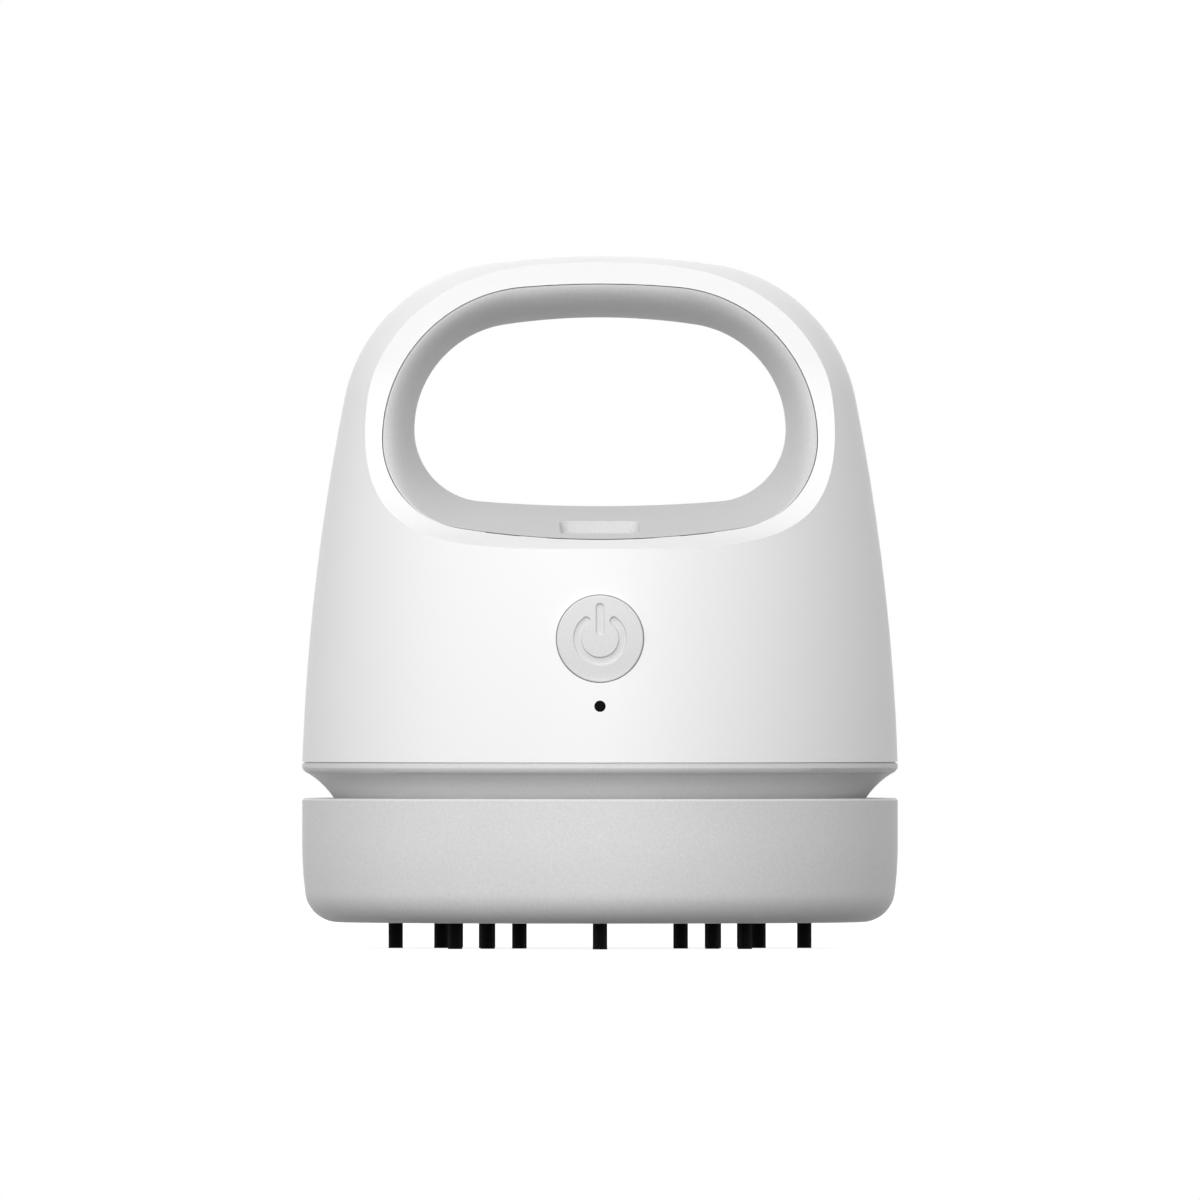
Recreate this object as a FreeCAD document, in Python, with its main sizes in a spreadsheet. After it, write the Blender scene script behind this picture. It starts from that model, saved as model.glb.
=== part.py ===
import FreeCAD, Part
import math
import os
import re
import Sketcher

# Desktop mini vacuum cleaner: a bell-shaped white body with a through handle, a fan
# housing that forms the grooved neck, and a pull-off grey dust cup that stands on its
# brush. Millimetres, +Z up, front at -Y, origin under the middle of the bristle tips.

doc = FreeCAD.newDocument("DesktopMiniVacuum")
sheet = doc.addObject("Spreadsheet::Sheet", "Sizes")
sheet_names = []
derived = {}
sub_parts = []

TO_Y = FreeCAD.Rotation(FreeCAD.Vector(1, 0, 0), -90)
TO_X = FreeCAD.Rotation(FreeCAD.Vector(0, 1, 0), 90)
PLANES = {
    "XY_Plane": FreeCAD.Rotation(),
    "XZ_Plane": FreeCAD.Rotation(FreeCAD.Vector(1, 0, 0), 90),
    "YZ_Plane": FreeCAD.Rotation(FreeCAD.Vector(1, 1, 1), 120),
}


def sizes(**numbers):
    """Add named sizes (mm, degrees or counts) to the sheet, one cell each."""
    for alias, number in numbers.items():
        sheet_names.append(alias)
        row = len(sheet_names)
        sheet.set(f"A{row}", alias)
        sheet.set(f"B{row}", str(number))
        sheet.setAlias(f"B{row}", alias)
    sheet.recompute()


def derive(**formulas):
    """Name formulas that follow from the sheet's sizes."""
    derived.update(formulas)


def bound(formula):
    """The formula with each name replaced by its cell, or by what it is derived from."""

    def swap(match):
        word = match.group(0)
        if word in derived:
            return f"({bound(derived[word])})"
        return f"Sizes.{word}" if word in sheet_names else word

    return re.sub(r"[a-z][a-z_0-9]*", swap, str(formula))


def value(formula):
    """The number that a formula gives now."""
    return float(sheet.evalExpression(bound(formula)))


def bind(thing, **formulas):
    """Tie properties of a document object to the sheet; x, y, z place it."""
    for path, formula in formulas.items():
        if path in ("x", "y", "z"):
            path = f"Placement.Base.{path}"
        if str(formula) != "0":
            thing.setExpression(path, bound(formula))
    return thing


def sub_part(thing, label):
    """Name a finished piece; its label is also its file's name."""
    thing.Label = label
    sub_parts.append(thing)
    return thing


def cylinder(name, radius, height, x="0", y="0", z="0", turned_to=None):
    """A bound cylinder that starts at x, y, z and runs up, or along turned_to."""
    thing = doc.addObject("Part::Cylinder", name)
    if turned_to is not None:
        thing.Placement = FreeCAD.Placement(FreeCAD.Vector(), turned_to)
    return bind(thing, Radius=radius, Height=height, x=x, y=y, z=z)


def box(name, x_range, y_range, z_range):
    """A bound box between two limits on each axis."""
    thing = doc.addObject("Part::Box", name)
    spans = [f"({high}) - ({low})" for low, high in (x_range, y_range, z_range)]
    bind(thing, Length=spans[0], Width=spans[1], Height=spans[2])
    return bind(thing, x=x_range[0], y=y_range[0], z=z_range[0])


def fuse(name, *pieces):
    thing = doc.addObject("Part::MultiFuse", name)
    thing.Shapes = list(pieces)
    return thing


def common(name, *pieces):
    thing = doc.addObject("Part::MultiCommon", name)
    thing.Shapes = list(pieces)
    return thing


def cut(name, base, *tools):
    thing = doc.addObject("Part::Cut", name)
    thing.Base = base
    thing.Tool = tools[0] if len(tools) == 1 else fuse(f"{name}_tools", *tools)
    return thing


def group(name, pieces):
    thing = doc.addObject("Part::Compound", name)
    thing.Links = list(pieces)
    return thing


def mirrored(name, source, normal):
    thing = doc.addObject("Part::Mirroring", name)
    thing.Source = source
    thing.Normal = normal
    return thing


def formed(name, shape):
    """A piece whose shape is made by Part's own functions from the sheet's sizes."""
    thing = doc.addObject("Part::Feature", name)
    thing.Shape = shape
    return thing


def empty_sketch(name, plane, level, body):
    """A sketch on one of the origin planes, raised by level along that plane's normal."""
    if body is None:
        sketch = doc.addObject("Sketcher::SketchObject", name)
        sketch.Placement = FreeCAD.Placement(FreeCAD.Vector(), PLANES[plane])
        return bind(sketch, z=level) if plane == "XY_Plane" else sketch
    sketch = body.newObject("Sketcher::SketchObject", name)
    origin_plane = [part for part in body.Origin.OriginFeatures if part.Role == plane][0]
    sketch.AttachmentSupport = [(origin_plane, "")]
    sketch.MapMode = "FlatFace"
    if level != "0":
        sketch.setExpression("AttachmentOffset.Base.z", bound(level))
    return sketch


def hold(sketch, kind, formula, *ends):
    """Constrain the sketch and tie the constraint to its formula."""
    number = sketch.addConstraint(Sketcher.Constraint(kind, *ends, value(formula)))
    if str(formula) != "0":
        sketch.setExpression(f"Constraints[{number}]", bound(formula))


def outline(name, corners, plane="XZ_Plane", level="0", body=None):
    """A closed outline. A corner is (x, y), or (x, y, radius, side) where an arc leads on
    from it, with its centre on the left (side 1) or on the right (side -1)."""
    sketch = empty_sketch(name, plane, level, body)
    points = [FreeCAD.Vector(value(corner[0]), value(corner[1]), 0) for corner in corners]
    ends = []
    for index, corner in enumerate(corners):
        start = points[index]
        finish = points[(index + 1) % len(points)]
        if len(corner) == 2:
            sketch.addGeometry(Part.LineSegment(start, finish), False)
            ends.append((1, 2))
            continue
        radius = value(corner[2])
        half = (finish - start) / 2
        rise = math.sqrt(max(radius ** 2 - half.Length ** 2, 0))
        left = FreeCAD.Vector(-half.y, half.x, 0).normalize()
        centre = start + half + left * rise * corner[3]
        angles = [math.atan2(point.y - centre.y, point.x - centre.x) for point in (start, finish)]
        circle = Part.Circle(centre, FreeCAD.Vector(0, 0, 1), radius)
        if corner[3] > 0:
            sketch.addGeometry(Part.ArcOfCircle(circle, angles[0], angles[1]), False)
            ends.append((1, 2))
        else:
            sketch.addGeometry(Part.ArcOfCircle(circle, angles[1], angles[0]), False)
            ends.append((2, 1))
    for index in range(len(corners)):
        following = (index + 1) % len(corners)
        joint = (index, ends[index][1], following, ends[following][0])
        sketch.addConstraint(Sketcher.Constraint("Coincident", *joint))
    for index, corner in enumerate(corners):
        hold(sketch, "DistanceX", corner[0], -1, 1, index, ends[index][0])
        hold(sketch, "DistanceY", corner[1], -1, 1, index, ends[index][0])
        if len(corner) > 2:
            hold(sketch, "Radius", corner[2], index)
    return sketch


def rounds(name, circles, level="0", body=None, plane="XY_Plane"):
    """A sketch of circles, each (x, y, radius)."""
    sketch = empty_sketch(name, plane, level, body)
    for index, (x, y, radius) in enumerate(circles):
        centre = FreeCAD.Vector(value(x), value(y), 0)
        circle = Part.Circle(centre, FreeCAD.Vector(0, 0, 1), value(radius))
        sketch.addGeometry(circle, False)
        hold(sketch, "DistanceX", x, -1, 1, index, 3)
        hold(sketch, "DistanceY", y, -1, 1, index, 3)
        hold(sketch, "Radius", radius, index)
    return sketch


def turned(label, corners, plane="XZ_Plane", axis="V_Axis"):
    """A body turned about Z (or about Y, from a profile on the XY plane)."""
    body = doc.addObject("PartDesign::Body", label)
    profile = outline(f"{label}_profile", corners, plane, "0", body)
    turning = body.newObject("PartDesign::Revolution", f"{label}_turning")
    turning.Profile = profile
    turning.ReferenceAxis = (profile, [axis])
    turning.Angle = 360
    doc.recompute()
    return body


def pad(body, sketch, length, downward=False):
    """Add the sketch's area to the body, up from its plane, or down."""
    feature = body.newObject("PartDesign::Pad", f"{sketch.Name}_pad")
    feature.Profile = sketch
    feature.Reversed = downward
    bind(feature, Length=length)
    doc.recompute()
    return feature


def pocket(body, sketch, length, upward=False):
    """Cut the sketch's area out of the body, down from its plane, or up."""
    feature = body.newObject("PartDesign::Pocket", f"{sketch.Name}_pocket")
    feature.Profile = sketch
    feature.Reversed = upward
    bind(feature, Length=length)
    doc.recompute()
    return feature


def around(body, feature, count, axis="N_Axis"):
    """Repeat a feature evenly about Z."""
    pattern = body.newObject("PartDesign::PolarPattern", f"{feature.Name}_pattern")
    pattern.Originals = [feature]
    pattern.Axis = (feature.Profile[0], [axis])
    pattern.Angle = 360
    bind(pattern, Occurrences=count)
    body.Tip = pattern
    doc.recompute()
    return pattern


def extruded(name, sketch, forward, backward="0"):
    """A solid from the sketch along its normal, forward and backward."""
    thing = doc.addObject("Part::Extrusion", name)
    thing.Base = sketch
    thing.DirMode = "Normal"
    thing.Solid = True
    return bind(thing, LengthFwd=forward, LengthRev=backward)


def screw(name, head, shank, head_height, length, x, y, z, turned_to=None, sense=1):
    """A pan-head screw. Its head ends at x, y, z and its shank runs on from there along the
    axis: up for sense 1 on Z, and so on."""
    if turned_to is None:
        places = (dict(x=x, y=y, z=f"({z}) - {head_height}"), dict(x=x, y=y, z=z))
    else:
        start = f"({y}) - {head_height}" if sense > 0 else y
        shank_start = y if sense > 0 else f"({y}) - {length}"
        places = (dict(x=x, y=start, z=z), dict(x=x, y=shank_start, z=z))
    head_part = cylinder(f"{name}_head", head, head_height, turned_to=turned_to, **places[0])
    shank_part = cylinder(f"{name}_shank", shank, length, turned_to=turned_to, **places[1])
    return fuse(name, head_part, shank_part)


def polar(radius, degrees):
    """The x and y of a place at a radius and an angle."""
    return f"({radius}) * cos({degrees})", f"({radius}) * sin({degrees})"


def lead(points, radius):
    """A round wire along straight runs that tangent arcs join, as large as the runs allow."""
    places = [FreeCAD.Vector(*[value(number) for number in point]) for point in points]
    edges = []
    start = places[0]
    for index in range(1, len(places) - 1):
        before = places[index] - places[index - 1]
        after = places[index + 1] - places[index]
        reach = lead_arc_share * min(before.Length, after.Length)
        turn = before.getAngle(after)
        arc_radius = reach / math.tan(turn / 2)
        before.normalize()
        after.normalize()
        first = places[index] - before * reach
        last = places[index] + after * reach
        inward = (after - before).normalize()
        middle = places[index] + inward * arc_radius * (1 / math.cos(turn / 2) - 1)
        edges.append(Part.LineSegment(start, first).toShape())
        edges.append(Part.Arc(first, middle, last).toShape())
        start = last
    edges.append(Part.LineSegment(start, places[-1]).toShape())
    path = Part.Wire(edges)
    section = Part.Circle(places[0], places[1] - places[0], value(radius)).toShape()
    return path.makePipeShell([Part.Wire(section)], True, False)


# Driving sizes, piece by piece
sizes(
    # Overall sizes and fits
    body_radius=43.0,
    overall_height=99.9,
    tuft_reach=3.75,
    cup_height=17.9,
    neck_height=5.0,
    seam_gap=0.25,
    slip_gap=0.12,
    running_gap=0.05,
    overrun=1.0,
    # Bell of the shell
    shell_wall=2.0,
    side_radius=324.0,
    shoulder_radius=24.25,
    shoulder_inset=29.9,
    crown_rise=0.97,
    # Scoops in front and behind
    handle_half_depth=15.0,
    scoop_height=84.5,
    scoop_radius=27.0,
    # Handle window
    window_half_width=31.4,
    window_mid=73.35,
    window_rise=22.5,
    window_drop=14.45,
    window_crown_rise=0.4,
    window_floor_rise=1.45,
    # Handle liner and its flare
    liner_wall=1.6,
    liner_land=0.25,
    liner_flange=1.4,
    liner_flange_thickness=1.4,
    throat_side_inset=4.6,
    throat_top_inset=4.8,
    throat_floor_inset=4.9,
    throat_mid_lift=1.45,
    throat_crown_rise=0.84,
    throat_floor_rise=0.66,
    flare_power=3.0,
    flare_ease=4.0,
    flare_stations=14,
    flare_arc_points=5,
    liner_reach=38.0,
    # Liner lugs and the notch in its floor
    lug_inner=11.5,
    lug_outer=16.5,
    lug_depth=4.0,
    lug_fall=6.4,
    lug_screw_fall=3.6,
    lug_screw_hole=1.15,
    lug_screw_pilot=0.9,
    lug_screw_head=1.9,
    lug_screw_head_height=1.4,
    lug_screw_length=6.6,
    notch_half_width=5.75,
    notch_floor=59.8,
    notch_back=20.3,
    notch_corner=0.5,
    notch_end_radius=1.5,
    notch_pan=1.4,
    # Button and indicator
    button_radius=6.25,
    button_height=44.7,
    button_gap=0.1,
    button_stand=0.3,
    button_edge=0.45,
    guide_wall=1.7,
    guide_end=37.8,
    guide_gap=0.15,
    button_flange=1.4,
    button_flange_thickness=0.8,
    button_travel=0.5,
    indicator_height=35.0,
    indicator_radius=0.77,
    indicator_collar=0.45,
    indicator_collar_length=0.8,
    # Shell bosses and screws, and the deck
    shell_screw_radius=33.5,
    shell_screw_angle=20.0,
    shell_screw_shank=1.05,
    shell_screw_head=2.0,
    shell_screw_head_height=1.5,
    shell_screw_length=11.0,
    shell_boss_radius=3.0,
    shell_boss_height=12.0,
    shell_rib=1.6,
    deck_thickness=1.8,
    # Charging receptacle and its board
    port_width=8.94,
    port_height=3.26,
    port_depth=7.35,
    port_inset=0.9,
    port_wall=0.3,
    port_floor=0.8,
    port_gap=0.2,
    tongue_width=6.7,
    tongue_thickness=0.7,
    tongue_inset=0.8,
    charge_board_half_width=8.0,
    charge_board_depth=12.4,
    board_thickness=1.0,
    standoff_height=2.2,
    # Motor's outside, sleeve, tower and screws
    motor_radius=12.2,
    motor_can_height=22.4,
    motor_can_wall=0.8,
    motor_edge=1.0,
    motor_boss_radius=3.5,
    motor_boss_height=1.4,
    shaft_radius=1.0,
    sleeve_thickness=1.75,
    sleeve_lift=2.0,
    sleeve_height=15.0,
    tower_wall=1.75,
    tower_height=17.4,
    motor_screw_radius=8.0,
    motor_screw_shank=0.9,
    motor_screw_head=1.8,
    motor_screw_head_height=0.85,
    motor_screw_length=3.4,
    # Control board, its posts and the standoffs
    board_half_width=12.0,
    board_front=32.8,
    control_board_thickness=1.2,
    board_foot=0.8,
    board_height=24.6,
    post_inner=9.0,
    post_depth=3.5,
    post_height=24.0,
    board_screw_x=10.5,
    board_screw_z=48.0,
    board_screw_shank=0.8,
    board_screw_head=1.5,
    board_screw_head_height=0.9,
    board_screw_length=4.2,
    standoff_radius=2.0,
    standoff_x=5.6,
    standoff_y=30.0,
    charge_screw_shank=0.75,
    charge_screw_head=1.4,
    charge_screw_head_height=0.8,
    charge_screw_length=2.7,
    # Fan housing, seal and fan floor
    spigot_radius=37.8,
    spigot_wall=1.8,
    spigot_bottom=14.6,
    neck_waist=38.4,
    neck_fall=0.75,
    cove_radius=12.0,
    lip_inset=0.9,
    lip_height=1.45,
    lip_edge=0.55,
    lip_radius=1.4,
    rim_height=2.0,
    rim_thickness=1.2,
    seal_seat_lift=0.8,
    seal_height=1.4,
    seal_depth=1.0,
    seal_stand=1.05,
    exhaust_slots=18,
    exhaust_slot_width=8.6,
    exhaust_slot_bottom=18.3,
    exhaust_slot_height=2.3,
    floor_posts=3,
    floor_post_radius=33.0,
    floor_post_size=2.4,
    floor_top=18.2,
    floor_thickness=1.2,
    floor_screw_shank=0.85,
    floor_screw_head=1.7,
    floor_screw_head_height=0.9,
    floor_screw_length=5.0,
    # Air eye
    eye_radius=11.0,
    eye_edge=0.5,
    # Filter
    filter_lip=1.4,
    filter_top=15.9,
    filter_frame_wall=1.6,
    filter_opening=31.0,
    filter_spokes=6,
    filter_spoke_width=1.6,
    filter_spoke_height=0.9,
    filter_hub=4.0,
    pleats=22,
    pleat_height=1.0,
    pleat_paper=0.35,
    # Motor's inside
    cap_height=3.4,
    cap_edge=0.6,
    bush_wall=1.3,
    bush_length=2.6,
    magnet_thickness=1.7,
    magnet_gap=0.3,
    magnet_half_split=3.0,
    armature_gap=0.35,
    armature_height=13.0,
    armature_lift=3.6,
    armature_slots=3,
    armature_slot=2.6,
    armature_core=3.0,
    commutator_radius=2.6,
    commutator_height=2.6,
    terminal_x=4.2,
    terminal_width=2.4,
    terminal_thickness=0.5,
    terminal_height=2.6,
    # Rotor
    fan_radius=27.5,
    fan_gap=0.7,
    fan_back_thickness=0.8,
    fan_top_gap=0.45,
    fan_hub_radius=3.4,
    fan_hub_flare=6.0,
    blades=9,
    blade_inner=10.0,
    blade_sweep=46.0,
    blade_radius=24.0,
    blade_thickness=1.0,
    shaft_end_gap=0.25,
    # Battery, cradle and strap
    cell_radius=7.0,
    cell_length=43.0,
    cell_y=24.3,
    cell_z=42.0,
    cell_tip_radius=2.6,
    cell_tip_length=0.8,
    cradle_half_length=19.5,
    cradle_half_depth=6.4,
    cradle_rise=11.4,
    cradle_arch_half=14.0,
    cradle_arch_top=33.4,
    strap_half_width=3.5,
    strap_thickness=0.8,
    cradle_screw_x=16.8,
    cradle_screw_shank=0.9,
    cradle_screw_head=1.8,
    cradle_screw_head_height=0.9,
    cradle_screw_length=6.0,
    # Switch and light on the board
    switch_half_size=3.0,
    switch_depth=3.4,
    plunger_radius=1.6,
    plunger_bore_depth=1.6,
    plunger_length=1.6,
    led_half_width=0.8,
    led_half_height=0.5,
    led_depth=0.8,
    # Leads
    lead_radius=0.6,
    motor_lead_x=3.0,
    motor_lead_rise=5.4,
    motor_lead_front=24.0,
    motor_lead_end_z=45.0,
    cell_lead_out=4.6,
    cell_lead_front=6.0,
    cell_lead_turn_x=12.0,
    cell_lead_turn_y=20.0,
    cell_lead_z=48.0,
    cell_lead_end_x=6.4,
    cell_lead_end_y=27.0,
    cell_lead_end_z=41.0,
    charge_lead_x=2.5,
    charge_lead_y=28.2,
    charge_lead_rise=1.8,
    charge_lead_front_y=22.0,
    charge_lead_turn_x=9.0,
    charge_lead_turn_y=16.5,
    charge_lead_side_x=20.0,
    charge_lead_side_y=6.0,
    charge_lead_fore_y=10.0,
    charge_lead_end_x=6.0,
    charge_lead_end_y=27.0,
    # Dust cup
    cup_wall=1.8,
    cup_foot_inset=5.2,
    cup_foot_radius=4.8,
    cup_foot_rise=4.65,
    cup_taper=0.4,
    cup_side_rise=11.25,
    cup_side_radius=54.0,
    cup_edge=0.3,
    ledge_thickness=1.25,
    ledge_inner=31.9,
    plate_radius=36.0,
    plate_gap=0.2,
    plate_flange_thickness=1.6,
    plate_boss_rise=1.2,
    gasket_thickness=0.6,
    plate_screws_count=4,
    plate_screw_radius=34.0,
    plate_screw_angle=22.5,
    plate_screw_shank=0.9,
    plate_screw_head=1.7,
    plate_screw_head_height=0.8,
    plate_screw_length=5.0,
    cup_boss_radius=2.3,
    cup_boss_height=3.6,
    cup_stops=8,
    cup_stop_width=1.2,
    cup_stop_inner=36.6,
    # Collar
    exhaust_gap=1.2,
    collar_lift=14.5,
    collar_step=17.3,
    collar_ramp=0.5,
    collar_drop=0.35,
    # Brush plate and bristles
    inlet_radius=8.2,
    inlet_edge=0.6,
    tuft_radius=1.05,
    tuft_gap=0.03,
    tuft_rows=8,
    tuft_inner=16.45,
    tuft_middle=22.9,
    tuft_outer=29.5,
    tuft_depth=2.2,
    # Inlet duct
    duct_wall=1.2,
    duct_height=4.1,
    duct_flange=12.2,
    duct_flange_thickness=0.8,
    duct_edge=0.4,
)

derive(
    cup_top="tuft_reach + cup_height",
    deck_top="cup_top + neck_height",
    shell_foot="deck_top + seam_gap",
)

# Bell outline of the shell: side arc, shoulder arc and crown arc, each tangent to the next
derive(
    shoulder_x="body_radius - shoulder_inset",
    shoulder_z="overall_height - shoulder_radius - crown_rise",
    crown_radius="(shoulder_x^2 + (shoulder_radius + crown_rise)^2 - shoulder_radius^2)"
                 " / (2 * crown_rise)",
    crown_z="overall_height - crown_radius",
    foot_fall="shoulder_z - shell_foot",
    foot_span_squared="shoulder_inset^2 + foot_fall^2",
    side_reach="side_radius - shoulder_radius",
    side_along="(side_reach^2 - side_radius^2 + foot_span_squared) / (2 * foot_span_squared)",
    side_across="sqrt(side_reach^2 / foot_span_squared - side_along^2)",
    side_x="shoulder_x + side_along * shoulder_inset - side_across * foot_fall",
    side_z="shoulder_z - side_along * foot_fall - side_across * shoulder_inset",
)


def bell_radius(height, inset="0"):
    """The radius of the bell's side at a height, or of a surface that lies inset inside it."""
    return f"side_x + sqrt((side_radius - ({inset}))^2 - (({height}) - side_z)^2)"


def bell_corners(inset, foot):
    """Half outline of the bell, set in by a wall, from the foot up to the crown."""
    shoulder = f"(shoulder_radius - ({inset}))"
    side_share = f"{shoulder} / side_reach"
    crown_share = f"{shoulder} / (crown_radius - shoulder_radius)"
    low = (f"shoulder_x + (shoulder_x - side_x) * {side_share}",
           f"shoulder_z + (shoulder_z - side_z) * {side_share}")
    high = (f"shoulder_x + shoulder_x * {crown_share}",
            f"shoulder_z + (shoulder_z - crown_z) * {crown_share}")
    return [
        ("0", foot),
        (bell_radius(foot, inset), foot, f"side_radius - ({inset})", 1),
        (*low, shoulder, 1),
        (*high, f"crown_radius - ({inset})", 1),
        ("0", f"overall_height - ({inset})"),
    ]


def bell(name, inset, foot):
    """A solid bell, turned about Z."""
    thing = doc.addObject("Part::Revolution", name)
    thing.Source = outline(f"{name}_profile", bell_corners(inset, foot))
    thing.Axis = FreeCAD.Vector(0, 0, 1)
    thing.Angle = 360
    thing.Solid = True
    return thing


# Scoops in front and behind: a flat face on the handle, then a cove down to the belly
def scoop_pair(name, grow):
    """The two spaces scooped out of the bell, grown into it by a wall."""
    near = f"handle_half_depth - ({grow})"
    outside = "handle_half_depth + scoop_radius + body_radius"
    above = "overall_height + overrun"
    corners = [
        (near, above),
        (near, "scoop_height", f"scoop_radius + ({grow})", 1),
        ("handle_half_depth + scoop_radius", f"scoop_height - scoop_radius - ({grow})"),
        (outside, f"scoop_height - scoop_radius - ({grow})"),
        (outside, above),
    ]
    profile = outline(f"{name}_profile", corners, "YZ_Plane")
    rear = extruded(f"{name}_rear", profile, "body_radius + overrun", "body_radius + overrun")
    front = mirrored(f"{name}_front", rear, FreeCAD.Vector(0, 1, 0))
    return fuse(name, rear, front)


# Handle window: the outline where the grey liner meets the shell, seen from the front.
# A flat crown arc and a flat floor arc run into corner arcs that meet at the widest height.
def window_corners(grow):
    """The window's outline, grown by a width, as six tangent arcs."""
    half = f"(window_half_width + ({grow}))"
    upper = f"(window_rise + ({grow}) - window_crown_rise)"
    lower = f"(window_drop + ({grow}) - window_floor_rise)"
    corners = {}
    for end, side_arc, flat_rise, sign in (
        ("top", upper, "window_crown_rise", "+"),
        ("floor", lower, "window_floor_rise", "-"),
    ):
        flat = (f"(({half} - {side_arc})^2 + ({side_arc} + {flat_rise})^2 - {side_arc}^2)"
                f" / (2 * {flat_rise})")
        share = f"({flat}) / (({flat}) - {side_arc})"
        x = f"({half} - {side_arc}) * {share}"
        rise = f"{side_arc} + {flat_rise}"
        z = f"window_mid {sign} ({rise} - ({flat}) + (({flat}) - ({rise})) * {share})"
        corners[end] = (x, z, flat)
    top_x, top_z, top_radius = corners["top"]
    floor_x, floor_z, floor_radius = corners["floor"]
    return [
        (half, "window_mid", upper, 1),
        (top_x, top_z, top_radius, 1),
        (f"-({top_x})", top_z, upper, 1),
        (f"-{half}", "window_mid", lower, 1),
        (f"-({floor_x})", floor_z, floor_radius, 1),
        (floor_x, floor_z, lower, 1),
    ]


def window_prism(name, grow, forward="body_radius", backward="body_radius"):
    """The window's outline carried along Y; the sketch's normal points to the front."""
    return extruded(name, outline(f"{name}_outline", window_corners(grow)), forward, backward)


# Handle liner: the flared grey sleeve of the grip, in a front and a rear half
def window_points(half, middle, rise, drop, crown_rise, floor_rise):
    """Points round a window outline of six tangent arcs, as (x, z), evenly on each arc."""
    upper = rise - crown_rise
    lower = drop - floor_rise
    crown = ((half - upper) ** 2 + rise ** 2 - upper ** 2) / (2 * crown_rise)
    floor = ((half - lower) ** 2 + drop ** 2 - lower ** 2) / (2 * floor_rise)
    crown_tilt = math.atan2(half - upper, crown - rise)
    floor_tilt = math.atan2(half - lower, floor - drop)
    quarter = math.pi / 2
    arcs = [
        (half - upper, middle, upper, 0, quarter - crown_tilt),
        (0, middle + rise - crown, crown, quarter - crown_tilt, quarter + crown_tilt),
        (upper - half, middle, upper, quarter + crown_tilt, 2 * quarter),
        (lower - half, middle, lower, 2 * quarter, 3 * quarter - floor_tilt),
        (0, middle - drop + floor, floor, 3 * quarter - floor_tilt, 3 * quarter + floor_tilt),
        (half - lower, middle, lower, 3 * quarter + floor_tilt, 4 * quarter),
    ]
    points = []
    steps = int(value("flare_arc_points"))
    for centre_x, centre_z, radius, start, finish in arcs:
        for step in range(steps):
            angle = start + (finish - start) * step / steps
            points.append((centre_x + radius * math.cos(angle), centre_z + radius * math.sin(angle)))
    return points


def scoop_depth(z):
    """How far from the middle plane the handle's face lies at a height."""
    fall = max(value("scoop_height") - z, 0)
    radius = value("scoop_radius")
    return value("handle_half_depth") + radius - math.sqrt(max(radius ** 2 - fall ** 2, 0))


def flare(name, grow):
    """The flared inside of the grip. Each station along Y blends the throat's outline into
    the window's, fully where that point of the window meets the handle's face. The power
    falls with the way to that face, so the crown turns out roundly and the floor slopes."""
    land = value("liner_land") + value("slip_gap") - grow
    throat = window_points(
        value("window_half_width - throat_side_inset") + grow,
        value("window_mid + throat_mid_lift"),
        value("window_rise - throat_top_inset - throat_mid_lift") + grow,
        value("window_drop - throat_floor_inset + throat_mid_lift") + grow,
        value("throat_crown_rise"),
        value("throat_floor_rise"),
    )
    mouth = window_points(
        value("window_half_width") - land,
        value("window_mid"),
        value("window_rise") - land,
        value("window_drop") - land,
        value("window_crown_rise"),
        value("window_floor_rise"),
    )
    stations = int(value("flare_stations"))
    start = -value("overrun")
    wires = []
    for station in range(stations):
        depth = start + (value("liner_reach") - start) * station / (stations - 1)
        points = []
        for (inner_x, inner_z), (outer_x, outer_z) in zip(throat, mouth):
            face_depth = scoop_depth(outer_z)
            power = value("flare_power * handle_half_depth") / face_depth
            reach = abs(depth) / face_depth
            beyond = max(reach - 1, 0)
            blend = min(reach, 1) ** power + power * beyond / (1 + value("flare_ease") * beyond)
            x = inner_x + (outer_x - inner_x) * blend
            z = inner_z + (outer_z - inner_z) * blend
            points.append(FreeCAD.Vector(x, -depth, z))
        curve = Part.BSplineCurve()
        curve.interpolate(Points=points, PeriodicFlag=True)
        wires.append(Part.Wire(curve.toShape()))
    return formed(name, Part.makeLoft(wires, True, False))


derive(
    throat_floor="window_mid - window_drop + throat_floor_inset",
    lug_bottom="throat_floor - liner_wall - lug_fall",
    lug_screw_z="throat_floor - liner_wall - lug_screw_fall",
    lug_x="(lug_inner + lug_outer) / 2",
)

handle_form = cut("handle_form", bell("handle_bell", "0", "shell_foot"), scoop_pair("face_scoops", "0"))
grip_inside = flare("grip_inside", 0)
grip_outside = flare("grip_outside", value("liner_wall"))
liner_block = window_prism("liner_block", "-slip_gap", "body_radius", "0")
liner_sleeve = common("liner_sleeve", liner_block, handle_form, grip_outside)
flange_behind = "shell_wall + slip_gap"
liner_flange_band = cut(
    "liner_flange_band",
    scoop_pair("flange_back", f"{flange_behind} + liner_flange_thickness"),
    scoop_pair("flange_face", flange_behind),
)
liner_flange_ring = common(
    "liner_flange_ring",
    liner_flange_band,
    window_prism("liner_flange_outline", "liner_flange", "body_radius", "0"),
    bell("liner_flange_limit", "shell_wall + 2 * slip_gap", "shell_foot"),
)
liner_lugs = [
    box(f"liner_lug_{side}", (low, high), ("-lug_depth", "0"),
        ("lug_bottom", "throat_floor - liner_wall / 2"))
    for side, low, high in (("left", "-lug_outer", "-lug_inner"), ("right", "lug_inner", "lug_outer"))
]
liner_half = fuse("liner_half", liner_sleeve, liner_flange_ring, *liner_lugs)


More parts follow.
